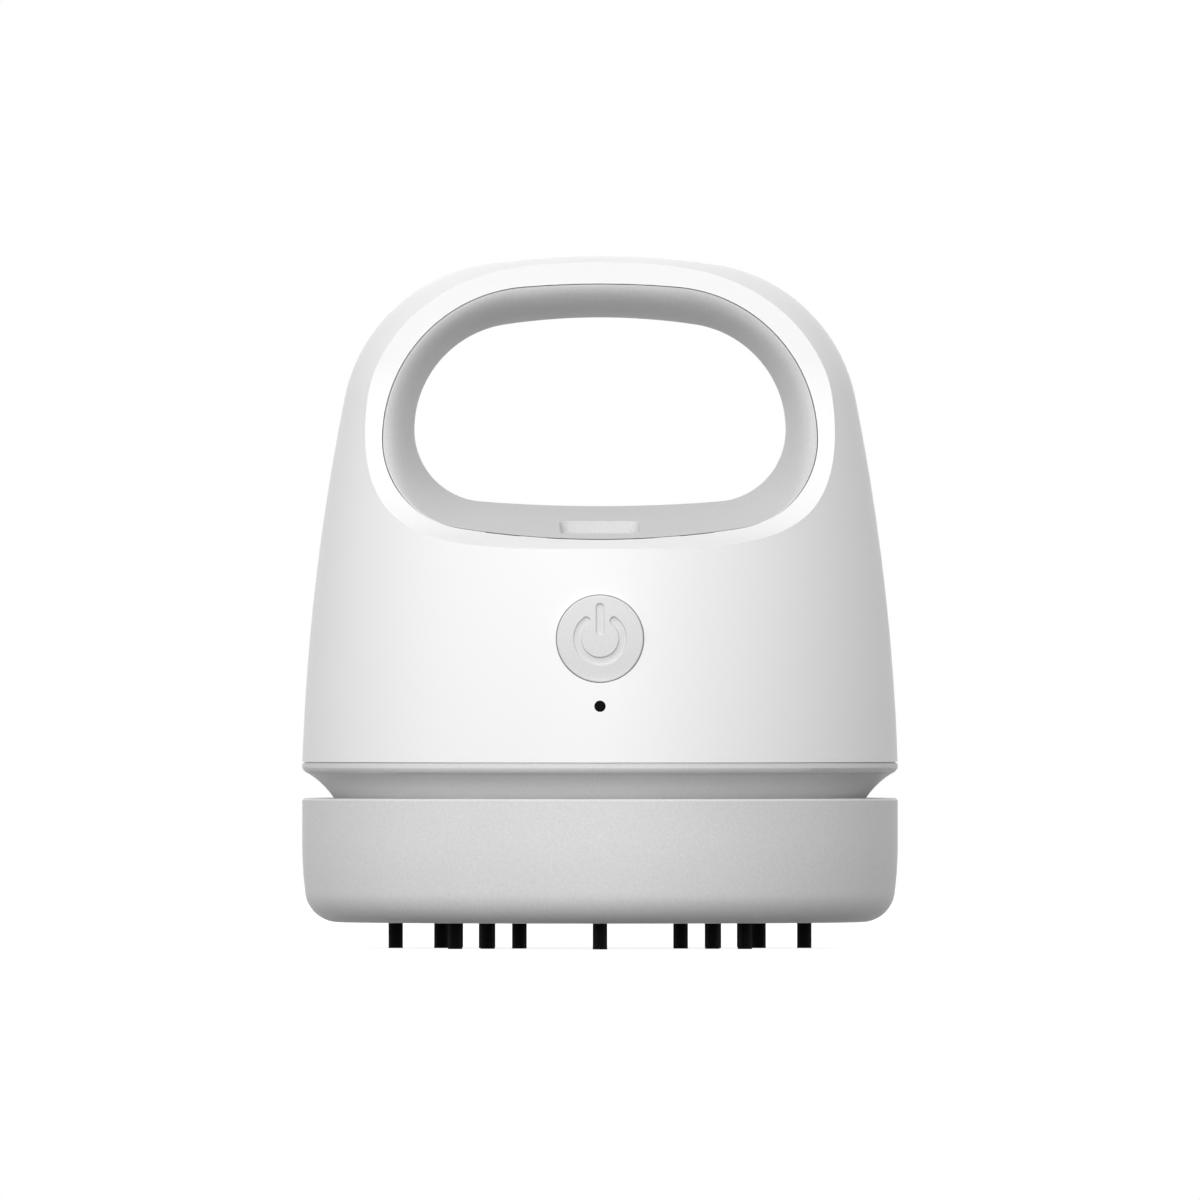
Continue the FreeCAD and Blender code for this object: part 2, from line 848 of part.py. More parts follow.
def notch_corners(grow):
    """The notch seen from the front, with rounded lower corners, open at its top."""
    half = f"(notch_half_width + ({grow}))"
    corner = f"(notch_corner + ({grow}))"
    foot = f"notch_floor - ({grow})"
    top = "throat_floor"
    return [
        (f"-{half}", f"{foot} + {corner}", corner, 1),
        (f"-{half} + {corner}", foot),
        (f"{half} - {corner}", foot, corner, 1),
        (half, f"{foot} + {corner}"),
        (half, top),
        (f"-{half}", top),
    ]


def notch_form(name, grow):
    """The notch's space from its back wall, which turns into the side walls in round corners,
    to beyond the floor's front, grown by a wall."""
    shape = extruded(f"{name}_run", outline(f"{name}_outline", notch_corners(grow)), "body_radius")
    half = f"(notch_half_width + ({grow}))"
    corner = f"(notch_end_radius + ({grow}))"
    back = f"-notch_back + ({grow})"
    plan_corners = [
        (half, "-body_radius"),
        (half, f"{back} - {corner}", corner, 1),
        (f"{half} - {corner}", back),
        (f"-{half} + {corner}", back, corner, 1),
        (f"-{half}", f"{back} - {corner}"),
        (f"-{half}", "-body_radius"),
    ]
    limit = extruded(f"{name}_limit", outline(f"{name}_plan", plan_corners, "XY_Plane"), "overall_height")
    return common(name, shape, limit)


notch_pan = common("notch_pan_in_handle", notch_form("notch_pan_form", "notch_pan"), liner_block, handle_form)
lug_holes = [
    cylinder(f"lug_hole_{side}", "lug_screw_hole", "lug_depth + 2 * overrun",
             x=x, y="-lug_depth - overrun", z="lug_screw_z", turned_to=TO_Y)
    for side, x in (("left", "-lug_x"), ("right", "lug_x"))
]
sub_part(
    cut("handle_liner_front", fuse("front_half_with_pan", liner_half, notch_pan),
        grip_inside, notch_form("notch", "0"), *lug_holes),
    "handle_liner_front",
)

rear_half = mirrored("rear_half", liner_half, FreeCAD.Vector(0, 1, 0))
rear_inside = mirrored("rear_inside", grip_inside, FreeCAD.Vector(0, 1, 0))
lug_pilots = [
    cylinder(f"lug_pilot_{side}", "lug_screw_pilot + running_gap", "lug_depth + 2 * overrun",
             x=x, y="-overrun", z="lug_screw_z", turned_to=TO_Y)
    for side, x in (("left", "-lug_x"), ("right", "lug_x"))
]
sub_part(cut("handle_liner_rear", rear_half, rear_inside, *lug_pilots), "handle_liner_rear")
sub_part(
    group("liner_screws", [
        screw(f"liner_screw_{side}", "lug_screw_head", "lug_screw_pilot", "lug_screw_head_height",
              "lug_screw_length", x, "-lug_depth", "lug_screw_z", TO_Y)
        for side, x in (("left", "-lug_x"), ("right", "lug_x"))
    ]),
    "liner_screws",
)

# Power button, its guide in the shell, and the indicator beside it on the front
derive(
    button_face=bell_radius("button_height") + " + button_stand",
    button_back="guide_end - guide_gap - button_flange_thickness",
    indicator_face=bell_radius("indicator_height"),
)
button = turned(
    "power_button",
    [
        ("0", "-button_face"),
        ("button_radius - button_edge", "-button_face", "button_edge", 1),
        ("button_radius", "-button_face + button_edge"),
        ("button_radius", "-guide_end + guide_gap"),
        ("button_radius + button_flange", "-guide_end + guide_gap"),
        ("button_radius + button_flange", "-button_back"),
        ("0", "-button_back"),
    ],
    "XY_Plane",
)
sub_part(bind(button, z="button_height"), "power_button")

# Fasteners that hold the shell down, shared by the shell's bosses and the housing's deck
derive(deck_bottom="deck_top - deck_thickness")
shell_screw_angles = [
    "shell_screw_angle", "180 - shell_screw_angle", "180 + shell_screw_angle", "-shell_screw_angle"
]

# Charging port: a standard-size receptacle on its own small board behind
derive(
    charge_board_top="deck_top + standoff_height + board_thickness",
    port_z="charge_board_top + port_height / 2",
    port_mouth=bell_radius("port_z") + " - port_inset",
    port_back="port_mouth - port_depth",
)


def stadium(name, width, height, level):
    """A slot with round ends, seen along Y, centred at a height."""
    straight = f"(({width}) - ({height})) / 2"
    radius = f"({height}) / 2"
    corners = []
    for sign, first, last in (("", "-", "+"), ("-", "+", "-")):
        corners.append((f"{sign}({straight})", f"{level} {first} {radius}", radius, 1))
        corners.append((f"{sign}({straight} + {radius})", level, radius, 1))
        corners.append((f"{sign}({straight})", f"{level} {last} {radius}"))
    return outline(name, corners)


# Shell: scooped bell with an even wall, the window, the button's guide and screw bosses
shell_room = cut("shell_room", bell("inner_bell", "shell_wall", "shell_foot - overrun"),
                 scoop_pair("wall_scoops", "shell_wall"))
shell_bosses = []
shell_pilots = []
for index, angle in enumerate(shell_screw_angles):
    boss_x, boss_y = polar("shell_screw_radius", angle)
    shell_bosses.append(
        cylinder(f"shell_boss_{index + 1}", "shell_boss_radius", "shell_boss_height",
                 x=boss_x, y=boss_y, z="deck_top")
    )
    rib = box(f"shell_rib_{index + 1}", ("0", "body_radius - shell_wall / 2 - shell_screw_radius"),
              ("0", "shell_rib"), ("shell_foot + shell_wall", "deck_top + shell_boss_height"))
    corner_x = f"{boss_x} + shell_rib / 2 * sin({angle})"
    corner_y = f"{boss_y} - shell_rib / 2 * cos({angle})"
    rib.Placement = FreeCAD.Placement(FreeCAD.Vector(), FreeCAD.Rotation(FreeCAD.Vector(0, 0, 1), 1))
    rib.setExpression("Placement.Rotation.Angle", bound(angle))
    shell_bosses.append(bind(rib, x=corner_x, y=corner_y, z="shell_foot + shell_wall"))
    shell_pilots.append(
        cylinder(f"shell_pilot_{index + 1}", "shell_screw_shank + running_gap",
                 "shell_boss_height - shell_wall", x=boss_x, y=boss_y, z="deck_top - running_gap")
    )
guide = cylinder("button_guide", "button_radius + button_gap + guide_wall",
                 f"({bell_radius('button_height')}) - shell_wall * 2 / 3 - guide_end",
                 y=f"-({bell_radius('button_height')}) + shell_wall * 2 / 3", z="button_height",
                 turned_to=TO_Y)
guide_bore = cylinder("button_bore", "button_radius + button_gap", "body_radius - guide_end + overrun",
                      y="-body_radius", z="button_height", turned_to=TO_Y)
indicator_bore = cylinder("indicator_bore", "indicator_radius + running_gap", "shell_wall * 2 + overrun",
                          y="-body_radius", z="indicator_height", turned_to=TO_Y)
port_hole = extruded(
    "port_hole",
    stadium("port_hole_outline", "port_width + 2 * port_gap", "port_height + 2 * port_gap", "port_z"),
    "-(port_back)", "body_radius + overrun")
shell_skin = cut("shell_skin", handle_form, shell_room)
shell_windowed = cut("shell_windowed", shell_skin, window_prism("window_hole", "0"))
sub_part(
    cut("top_shell", fuse("shell_with_bosses", shell_windowed, guide, *shell_bosses),
        guide_bore, indicator_bore, port_hole, *shell_pilots),
    "top_shell",
)
sub_part(
    group("shell_screws", [
        screw(f"shell_screw_{index + 1}", "shell_screw_head", "shell_screw_shank", "shell_screw_head_height",
              "shell_screw_length", *polar("shell_screw_radius", angle), "deck_bottom")
        for index, angle in enumerate(shell_screw_angles)
    ]),
    "shell_screws",
)

# Motor sizes, which the housing's tower and the fan follow
derive(
    tower_inner="motor_radius + running_gap + sleeve_thickness + running_gap",
    tower_outer="tower_inner + tower_wall",
)

# Board and standoff sizes, which the deck's posts follow
derive(board_back="board_front - control_board_thickness")

# Fan housing: deck, flared neck and spigot in one moulding, which the cup pushes on to.
# A rim on the deck centres the shell and closes the seam from inside.
derive(
    spigot_inner="spigot_radius - spigot_wall",
    seal_bottom="spigot_bottom + seal_seat_lift",
    seal_top="seal_bottom + seal_height",
    seal_inner="spigot_radius - seal_depth",
    seal_outer="spigot_radius + seal_stand",
    rim_outer=bell_radius("deck_top + rim_height", "shell_wall") + " - slip_gap",
)
housing = turned(
    "fan_housing",
    [
        ("motor_boss_radius + slip_gap", "deck_bottom"),
        ("spigot_inner", "deck_bottom"),
        ("spigot_inner", "spigot_bottom"),
        ("spigot_radius", "spigot_bottom"),
        ("spigot_radius", "seal_bottom"),
        ("seal_inner", "seal_bottom"),
        ("seal_inner", "seal_top"),
        ("spigot_radius", "seal_top"),
        ("spigot_radius", "cup_top - neck_fall"),
        ("neck_waist", "cup_top", "cove_radius", -1),
        ("body_radius - lip_inset", "deck_top - lip_height", "lip_radius", 1),
        ("body_radius", "deck_top - lip_edge"),
        ("body_radius", "deck_top"),
        ("rim_outer", "deck_top"),
        ("rim_outer", "deck_top + rim_height"),
        ("rim_outer - rim_thickness", "deck_top + rim_height"),
        ("rim_outer - rim_thickness", "deck_top"),
        ("tower_outer", "deck_top"),
        ("tower_outer", "deck_top + tower_height"),
        ("tower_inner", "deck_top + tower_height"),
        ("tower_inner", "deck_top"),
        ("motor_boss_radius + slip_gap", "deck_top"),
    ],
)
floor_post = rounds("floor_post", [("0", "floor_post_radius", "floor_post_size")], "deck_bottom", housing)
around(housing, pad(housing, floor_post, "deck_bottom - floor_top", True), "floor_posts")
post_pilot = rounds("floor_post_pilot", [("0", "floor_post_radius", "floor_screw_shank + running_gap")],
                    "floor_top", housing)
around(housing, pocket(housing, post_pilot, "floor_screw_length", True), "floor_posts")
slot_corners = [
    ("-exhaust_slot_width / 2", "spigot_inner - slip_gap"),
    ("exhaust_slot_width / 2", "spigot_inner - slip_gap"),
    ("exhaust_slot_width / 2", "spigot_radius + overrun"),
    ("-exhaust_slot_width / 2", "spigot_radius + overrun"),
]
slot = outline("exhaust_slot", slot_corners, "XY_Plane", "exhaust_slot_bottom + exhaust_slot_height", housing)
around(housing, pocket(housing, slot, "exhaust_slot_height"), "exhaust_slots")
deck_holes = [
    (*polar("shell_screw_radius", angle), "shell_screw_shank + slip_gap")
    for angle in shell_screw_angles
]
deck_holes += [
    (x, "0", "motor_screw_shank + slip_gap")
    for x in ("-motor_screw_radius", "motor_screw_radius")
]
pocket(housing, rounds("deck_holes", deck_holes, "deck_top + overrun", housing),
       "deck_thickness + 2 * overrun")
post_spans = (("left", "-board_half_width", "-post_inner"), ("right", "post_inner", "board_half_width"))
for side, low, high in post_spans:
    post_corners = [(low, "-board_back"), (high, "-board_back"), (high, "-board_back + post_depth"),
                    (low, "-board_back + post_depth")]
    pad(housing, outline(f"board_post_{side}", post_corners, "XY_Plane", "deck_top", housing), "post_height")
standoffs = [(x, "standoff_y", "standoff_radius") for x in ("-standoff_x", "standoff_x")]
pad(housing, rounds("standoffs", standoffs, "deck_top", housing), "standoff_height")
standoff_pilots = [
    (x, "standoff_y", "charge_screw_shank + running_gap")
    for x in ("-standoff_x", "standoff_x")
]
pocket(housing, rounds("standoff_pilots", standoff_pilots, "deck_top + standoff_height", housing),
       "charge_screw_length - board_thickness")
board_pilots = [
    (x, "board_screw_z", "board_screw_shank + running_gap")
    for x in ("-board_screw_x", "board_screw_x")
]
pocket(housing, rounds("board_pilots", board_pilots, "board_back", housing, "XZ_Plane"), "post_depth")
sub_part(housing, "fan_housing")

# Seal ring on the spigot, which the cup's collar slides over
sub_part(
    turned("seal_ring", [
        ("seal_inner + running_gap", "seal_bottom + running_gap"),
        ("spigot_radius", "seal_bottom + running_gap"),
        ("seal_outer", "seal_bottom + seal_height / 3"),
        ("seal_outer", "seal_top - seal_height / 3"),
        ("spigot_radius", "seal_top - running_gap"),
        ("seal_inner + running_gap", "seal_top - running_gap"),
    ]),
    "seal_ring",
)

# Fan floor: the plate with the air eye that closes the fan's chamber from below
floor_plate = turned("fan_floor", [
    ("eye_radius", "floor_top - floor_thickness + eye_edge"),
    ("eye_radius + eye_edge", "floor_top - floor_thickness"),
    ("spigot_inner - slip_gap", "floor_top - floor_thickness"),
    ("spigot_inner - slip_gap", "floor_top"),
    ("eye_radius", "floor_top"),
])
floor_hole = rounds("floor_hole", [("0", "floor_post_radius", "floor_screw_shank + slip_gap")],
                    "floor_top + overrun", floor_plate)
around(floor_plate, pocket(floor_plate, floor_hole, "floor_thickness + 2 * overrun"), "floor_posts")
sub_part(floor_plate, "fan_floor")
sub_part(
    group("floor_screws", [
        screw(f"floor_screw_{index + 1}", "floor_screw_head", "floor_screw_shank", "floor_screw_head_height",
              "floor_screw_length",
              *polar("floor_post_radius", f"90 + {index} * 360 / floor_posts"),
              "floor_top - floor_thickness")
        for index in range(int(value("floor_posts")))
    ]),
    "floor_screws",
)

# Filter: a frame that plugs into the spigot's end, with a pleated paper disc
derive(
    filter_bottom="spigot_bottom - filter_lip",
    filter_plug="spigot_inner - slip_gap",
    filter_seat="filter_plug - filter_frame_wall",
)
frame = turned("filter_frame", [
    ("filter_opening", "filter_bottom"),
    ("spigot_radius - slip_gap", "filter_bottom"),
    ("spigot_radius - slip_gap", "spigot_bottom"),
    ("filter_plug", "spigot_bottom"),
    ("filter_plug", "filter_top"),
    ("filter_seat", "filter_top"),
    ("filter_seat", "filter_bottom + filter_spoke_height"),
    ("filter_opening", "filter_bottom + filter_spoke_height"),
])
spoke_corners = [
    ("-filter_spoke_width / 2", "filter_hub / 2"),
    ("filter_spoke_width / 2", "filter_hub / 2"),
    ("filter_spoke_width / 2", "filter_opening + filter_frame_wall / 2"),
    ("-filter_spoke_width / 2", "filter_opening + filter_frame_wall / 2"),
]
spoke = outline("filter_spoke", spoke_corners, "XY_Plane", "filter_bottom", frame)
around(frame, pad(frame, spoke, "filter_spoke_height"), "filter_spokes")
frame.Tip.Refine = True
hub_disc = rounds("filter_hub_disc", [("0", "0", "filter_hub")], "filter_bottom", frame)
pad(frame, hub_disc, "filter_spoke_height")
sub_part(frame, "filter_frame")

pleat_count = int(value("pleats"))
pleat_low = "filter_bottom + filter_spoke_height"
lower_edge = []
upper_edge = []
for index in range(2 * pleat_count + 1):
    x = f"filter_seat * ({index} / pleats - 1)"
    lift = "0" if index % 2 == 0 else "pleat_height"
    lower_edge.append((x, f"{pleat_low} + {lift}"))
    upper_edge.append((x, f"{pleat_low} + {lift} + pleat_paper"))
pleated = extruded("pleated_paper", outline("pleats_outline", lower_edge + upper_edge[::-1]),
                   "body_radius", "body_radius")
sub_part(
    common("filter_media", pleated,
           cylinder("filter_disc", "filter_seat - slip_gap", "cup_height", z=pleat_low)),
    "filter_media",
)

# Motor: drawn can, bushes, magnets and brush cap, held in the tower by a rubber sleeve
derive(
    can_inner="motor_radius - motor_can_wall",
    can_top="deck_top + motor_can_height",
    cap_top="can_top + cap_height",
    bush_outer="shaft_radius + running_gap + bush_wall",
    magnet_outer="can_inner - running_gap",
    magnet_inner="magnet_outer - magnet_thickness",
    armature_radius="magnet_inner - armature_gap",
    armature_bottom="deck_top + armature_lift",
    armature_top="armature_bottom + armature_height",
)
can = turned("motor_can", [
    ("bush_outer", "deck_top - motor_boss_height"),
    ("motor_boss_radius", "deck_top - motor_boss_height"),
    ("motor_boss_radius", "deck_top"),
    ("motor_radius - motor_edge", "deck_top", "motor_edge", 1),
    ("motor_radius", "deck_top + motor_edge"),
    ("motor_radius", "can_top"),
    ("can_inner", "can_top"),
    ("can_inner", "deck_top + motor_can_wall"),
    ("bush_outer", "deck_top + motor_can_wall"),
])
can_holes = [
    (x, "0", "motor_screw_shank + running_gap")
    for x in ("-motor_screw_radius", "motor_screw_radius")
]
pocket(can, rounds("can_holes", can_holes, "deck_top + motor_can_wall + overrun", can),
       "motor_can_wall + 2 * overrun")
sub_part(can, "motor_can")
for label, level in (("motor_bush_lower", "deck_top - motor_boss_height"), ("motor_bush_upper", "can_top")):
    bush = turned(label, [
        ("shaft_radius + running_gap", level),
        ("bush_outer", level),
        ("bush_outer", f"{level} + bush_length"),
        ("shaft_radius + running_gap", f"{level} + bush_length"),
    ])
    sub_part(bush, label)
cap = turned("motor_end_cap", [
    ("bush_outer", "can_top - cap_edge"),
    ("can_inner - running_gap", "can_top - cap_edge"),
    ("can_inner - running_gap", "can_top"),
    ("motor_radius", "can_top"),
    ("motor_radius", "cap_top - cap_edge"),
    ("motor_radius - cap_edge", "cap_top"),
    ("0", "cap_top"),
    ("0", "can_top + bush_length"),
    ("bush_outer", "can_top + bush_length"),
])
sub_part(cap, "motor_end_cap")
sub_part(
    group("motor_terminals", [
        box(f"terminal_{side}", (f"{x} - terminal_width / 2", f"{x} + terminal_width / 2"),
            ("-terminal_thickness / 2", "terminal_thickness / 2"), ("cap_top", "cap_top + terminal_height"))
        for side, x in (("left", "-terminal_x"), ("right", "terminal_x"))
    ]),
    "motor_terminals",
)
magnet_blank = cylinder("magnet_blank", "magnet_outer", "armature_height", z="armature_bottom")
magnet_bore = cylinder("magnet_bore", "magnet_inner", "armature_height + 2 * overrun",
                       z="armature_bottom - overrun")
magnet_ring = cut("magnet_ring", magnet_blank, magnet_bore)
magnet_split = box("magnet_split", ("-magnet_half_split", "magnet_half_split"),
                   ("-motor_radius", "motor_radius"),
                   ("armature_bottom - overrun", "armature_top + overrun"))
sub_part(cut("motor_magnets", magnet_ring, magnet_split), "motor_magnets")
sub_part(
    turned("motor_sleeve", [
        ("motor_radius + running_gap", "deck_top + sleeve_lift"),
        ("tower_inner - running_gap", "deck_top + sleeve_lift"),
        ("tower_inner - running_gap", "deck_top + sleeve_lift + sleeve_height"),
        ("motor_radius + running_gap", "deck_top + sleeve_lift + sleeve_height"),
    ]),
    "motor_sleeve",
)
sub_part(
    group("motor_screws", [
        screw(f"motor_screw_{side}", "motor_screw_head", "motor_screw_shank", "motor_screw_head_height",
              "motor_screw_length", x, "0", "deck_bottom")
        for side, x in (("left", "-motor_screw_radius"), ("right", "motor_screw_radius"))
    ]),
    "motor_screws",
)

# Rotor: shaft, wound armature and the fan, which turn together
derive(
    fan_bottom="floor_top + fan_gap",
    fan_top="deck_bottom - motor_screw_head_height - fan_top_gap",
    fan_back="fan_top - fan_back_thickness",
    shaft_bottom="fan_bottom",
    shaft_top="can_top + bush_length - shaft_end_gap",
)
sub_part(cylinder("motor_shaft", "shaft_radius", "shaft_top - shaft_bottom", z="shaft_bottom"), "motor_shaft")
armature = turned("motor_armature", [
    ("shaft_radius", "armature_bottom"),
    ("armature_radius", "armature_bottom"),
    ("armature_radius", "armature_top"),
    ("commutator_radius", "armature_top"),
    ("commutator_radius", "armature_top + commutator_height"),
    ("shaft_radius", "armature_top + commutator_height"),
])
armature_slot_corners = [
    ("-armature_slot / 2", "armature_core"),
    ("armature_slot / 2", "armature_core"),
    ("armature_slot / 2", "motor_radius"),
    ("-armature_slot / 2", "motor_radius"),
]
armature_slot = outline("armature_slot_outline", armature_slot_corners, "XY_Plane", "armature_top", armature)
around(armature, pocket(armature, armature_slot, "armature_height"), "armature_slots")
sub_part(armature, "motor_armature")
impeller = turned("impeller", [
    ("shaft_radius", "fan_bottom"),
    ("fan_hub_radius", "fan_bottom"),
    ("fan_hub_radius", "fan_back - fan_hub_radius", "fan_hub_radius * 2", -1),
    ("fan_hub_flare", "fan_back"),
    ("fan_radius", "fan_back"),
    ("fan_radius", "fan_top"),
    ("shaft_radius", "fan_top"),
])
tip = "fan_radius"
blade_corners = [
    ("blade_inner", "-blade_thickness / 2", "blade_radius", -1),
    (*polar(tip, "-blade_sweep"), ),
    (*polar(f"{tip} - blade_thickness", "-blade_sweep"), "blade_radius - blade_thickness", 1),
    ("blade_inner - blade_thickness", "-blade_thickness"),
]
blade = outline("fan_blade", blade_corners, "XY_Plane", "fan_back", impeller)
around(impeller, pad(impeller, blade, "fan_back - fan_bottom", True), "blades")
sub_part(impeller, "impeller")

# Battery: one round cell lying across the body behind the motor, in a moulded cradle
cell = fuse(
    "cell_form",
    cylinder("cell_case", "cell_radius", "cell_length - cell_tip_length", x="-cell_length / 2", y="cell_y",
             z="cell_z", turned_to=TO_X),
    cylinder("cell_tip", "cell_tip_radius", "cell_tip_length", x="cell_length / 2 - cell_tip_length",
             y="cell_y", z="cell_z", turned_to=TO_X),
)
sub_part(cell, "battery_cell")
cradle_depth = ("cell_y - cradle_half_depth", "cell_y + cradle_half_depth")
cradle_block = box("cradle_block", ("-cradle_half_length", "cradle_half_length"), cradle_depth,
                   ("deck_top", "deck_top + cradle_rise"))
cradle_arch = box("cradle_arch", ("-cradle_arch_half", "cradle_arch_half"),
                  ("cell_y - cradle_half_depth - overrun", "cell_y + cradle_half_depth + overrun"),
                  ("deck_top - overrun", "cradle_arch_top"))
cell_room = cylinder("cell_room", "cell_radius + slip_gap", "cell_length + 2 * overrun",
                     x="-cell_length / 2 - overrun", y="cell_y", z="cell_z", turned_to=TO_X)
cradle_pilots = [
    cylinder(f"cradle_pilot_{side}", "cradle_screw_shank + running_gap", "cradle_screw_length",
             x=x, y="cell_y", z="deck_bottom")
    for side, x in (("left", "-cradle_screw_x"), ("right", "cradle_screw_x"))
]
sub_part(cut("battery_cradle", cradle_block, cradle_arch, cell_room, *cradle_pilots), "battery_cradle")
strap_ring = cut(
    "strap_ring",
    cylinder("strap_blank", "cell_radius + slip_gap + strap_thickness", "2 * strap_half_width",
             x="-strap_half_width", y="cell_y", z="cell_z", turned_to=TO_X),
    cylinder("strap_bore", "cell_radius + slip_gap", "2 * strap_half_width + 2 * overrun",
             x="-strap_half_width - overrun", y="cell_y", z="cell_z", turned_to=TO_X),
    box("strap_end", ("-strap_half_width - overrun", "strap_half_width + overrun"),
        ("0", "cell_y + cell_radius + strap_thickness + overrun"), ("deck_top", "deck_top + cradle_rise")),
)
sub_part(strap_ring, "battery_strap")
cradle_holes = [
    (x, "cell_y", "cradle_screw_shank + slip_gap")
    for x in ("-cradle_screw_x", "cradle_screw_x")
]
pocket(housing, rounds("cradle_holes", cradle_holes, "deck_top + overrun", housing),
       "deck_thickness + 2 * overrun")
sub_part(
    group("cradle_screws", [
        screw(f"cradle_screw_{side}", "cradle_screw_head", "cradle_screw_shank", "cradle_screw_head_height",
              "cradle_screw_length", x, "cell_y", "deck_bottom")
        for side, x in (("left", "-cradle_screw_x"), ("right", "cradle_screw_x"))
    ]),
    "cradle_screws",
)

# Control board behind the front wall, with the switch that the button presses
board_blank = box("board_blank", ("-board_half_width", "board_half_width"), ("-board_front", "-board_back"),
                  ("deck_top + board_foot", "deck_top + board_foot + board_height"))
board_holes = [
    cylinder(f"board_hole_{side}", "board_screw_shank + slip_gap", "control_board_thickness + 2 * overrun",
             x=x, y="-board_front - overrun", z="board_screw_z", turned_to=TO_Y)
    for side, x in (("left", "-board_screw_x"), ("right", "board_screw_x"))
]
sub_part(cut("control_board", board_blank, *board_holes), "control_board")
switch_body = box("switch_body", ("-switch_half_size", "switch_half_size"),
                  ("-board_front - switch_depth", "-board_front"),
                  ("button_height - switch_half_size", "button_height + switch_half_size"))
plunger_bore = cylinder("plunger_bore", "plunger_radius + slip_gap", "plunger_bore_depth + overrun",
                        y="-board_front - switch_depth - overrun", z="button_height", turned_to=TO_Y)
sub_part(cut("tact_switch", switch_body, plunger_bore), "tact_switch")
sub_part(
    cylinder("switch_plunger", "plunger_radius", "plunger_length", y="-button_back", z="button_height",
             turned_to=TO_Y),
    "switch_plunger",
)
lens_collar_face = f"-({bell_radius('indicator_height', 'shell_wall')}) + 2 * slip_gap"
lens = turned("indicator_lens", [
    ("0", "-indicator_face + running_gap"),
    ("indicator_radius", "-indicator_face + running_gap"),
    ("indicator_radius", lens_collar_face),
    ("indicator_radius + indicator_collar", lens_collar_face),
    ("indicator_radius + indicator_collar", f"{lens_collar_face} + indicator_collar_length"),
    ("indicator_radius", f"{lens_collar_face} + indicator_collar_length"),
    ("indicator_radius", "-board_front - led_depth"),
    ("0", "-board_front - led_depth"),
], "XY_Plane")
sub_part(bind(lens, z="indicator_height"), "indicator_lens")
sub_part(
    box("indicator_led", ("-led_half_width", "led_half_width"), ("-board_front - led_depth", "-board_front"),
        ("indicator_height - led_half_height", "indicator_height + led_half_height")),
    "indicator_led",
)
sub_part(
    group("board_screws", [
        screw(f"board_screw_{side}", "board_screw_head", "board_screw_shank", "board_screw_head_height",
              "board_screw_length", x, "-board_front", "board_screw_z", TO_Y)
        for side, x in (("left", "-board_screw_x"), ("right", "board_screw_x"))
    ]),
    "board_screws",
)

# Charging receptacle and its board on the deck's standoffs
port_blank = extruded("port_blank", stadium("port_outline", "port_width", "port_height", "port_z"),
                      "-(port_back)", "port_mouth")
port_room = extruded(
    "port_room",
    stadium("port_room_outline", "port_width - 2 * port_wall", "port_height - 2 * port_wall", "port_z"),
    "-(port_back + port_floor)", "port_mouth + overrun")
port_tongue = box("port_tongue", ("-tongue_width / 2", "tongue_width / 2"),
                  ("port_back + port_floor / 2", "port_mouth - tongue_inset"),
                  ("port_z - tongue_thickness / 2", "port_z + tongue_thickness / 2"))
sub_part(fuse("charge_port", cut("port_shell", port_blank, port_room), port_tongue), "charge_port")
charge_back = "standoff_y - standoff_radius - board_thickness"
charge_blank = box("charge_blank", ("-charge_board_half_width", "charge_board_half_width"),
                   (charge_back, f"{charge_back} + charge_board_depth"),
                   ("deck_top + standoff_height", "charge_board_top"))
charge_holes = [
    cylinder(f"charge_hole_{side}", "charge_screw_shank + slip_gap", "board_thickness + 2 * overrun",
             x=x, y="standoff_y", z="deck_top + standoff_height - overrun")
    for side, x in (("left", "-standoff_x"), ("right", "standoff_x"))
]
sub_part(cut("charge_board", charge_blank, *charge_holes), "charge_board")


def downward_screw(name, x, y, top):
    """A screw of the charging board, driven down, whose head sits on top."""
    head = cylinder(f"{name}_head", "charge_screw_head", "charge_screw_head_height", x=x, y=y, z=top)
    shank = cylinder(f"{name}_shank", "charge_screw_shank", "charge_screw_length", x=x, y=y,
                     z=f"{top} - charge_screw_length")
    return fuse(name, head, shank)


sub_part(
    group("charge_board_screws", [
        downward_screw(f"charge_screw_{side}", x, "standoff_y", "charge_board_top")
        for side, x in (("left", "-standoff_x"), ("right", "standoff_x"))
    ]),
    "charge_board_screws",
)

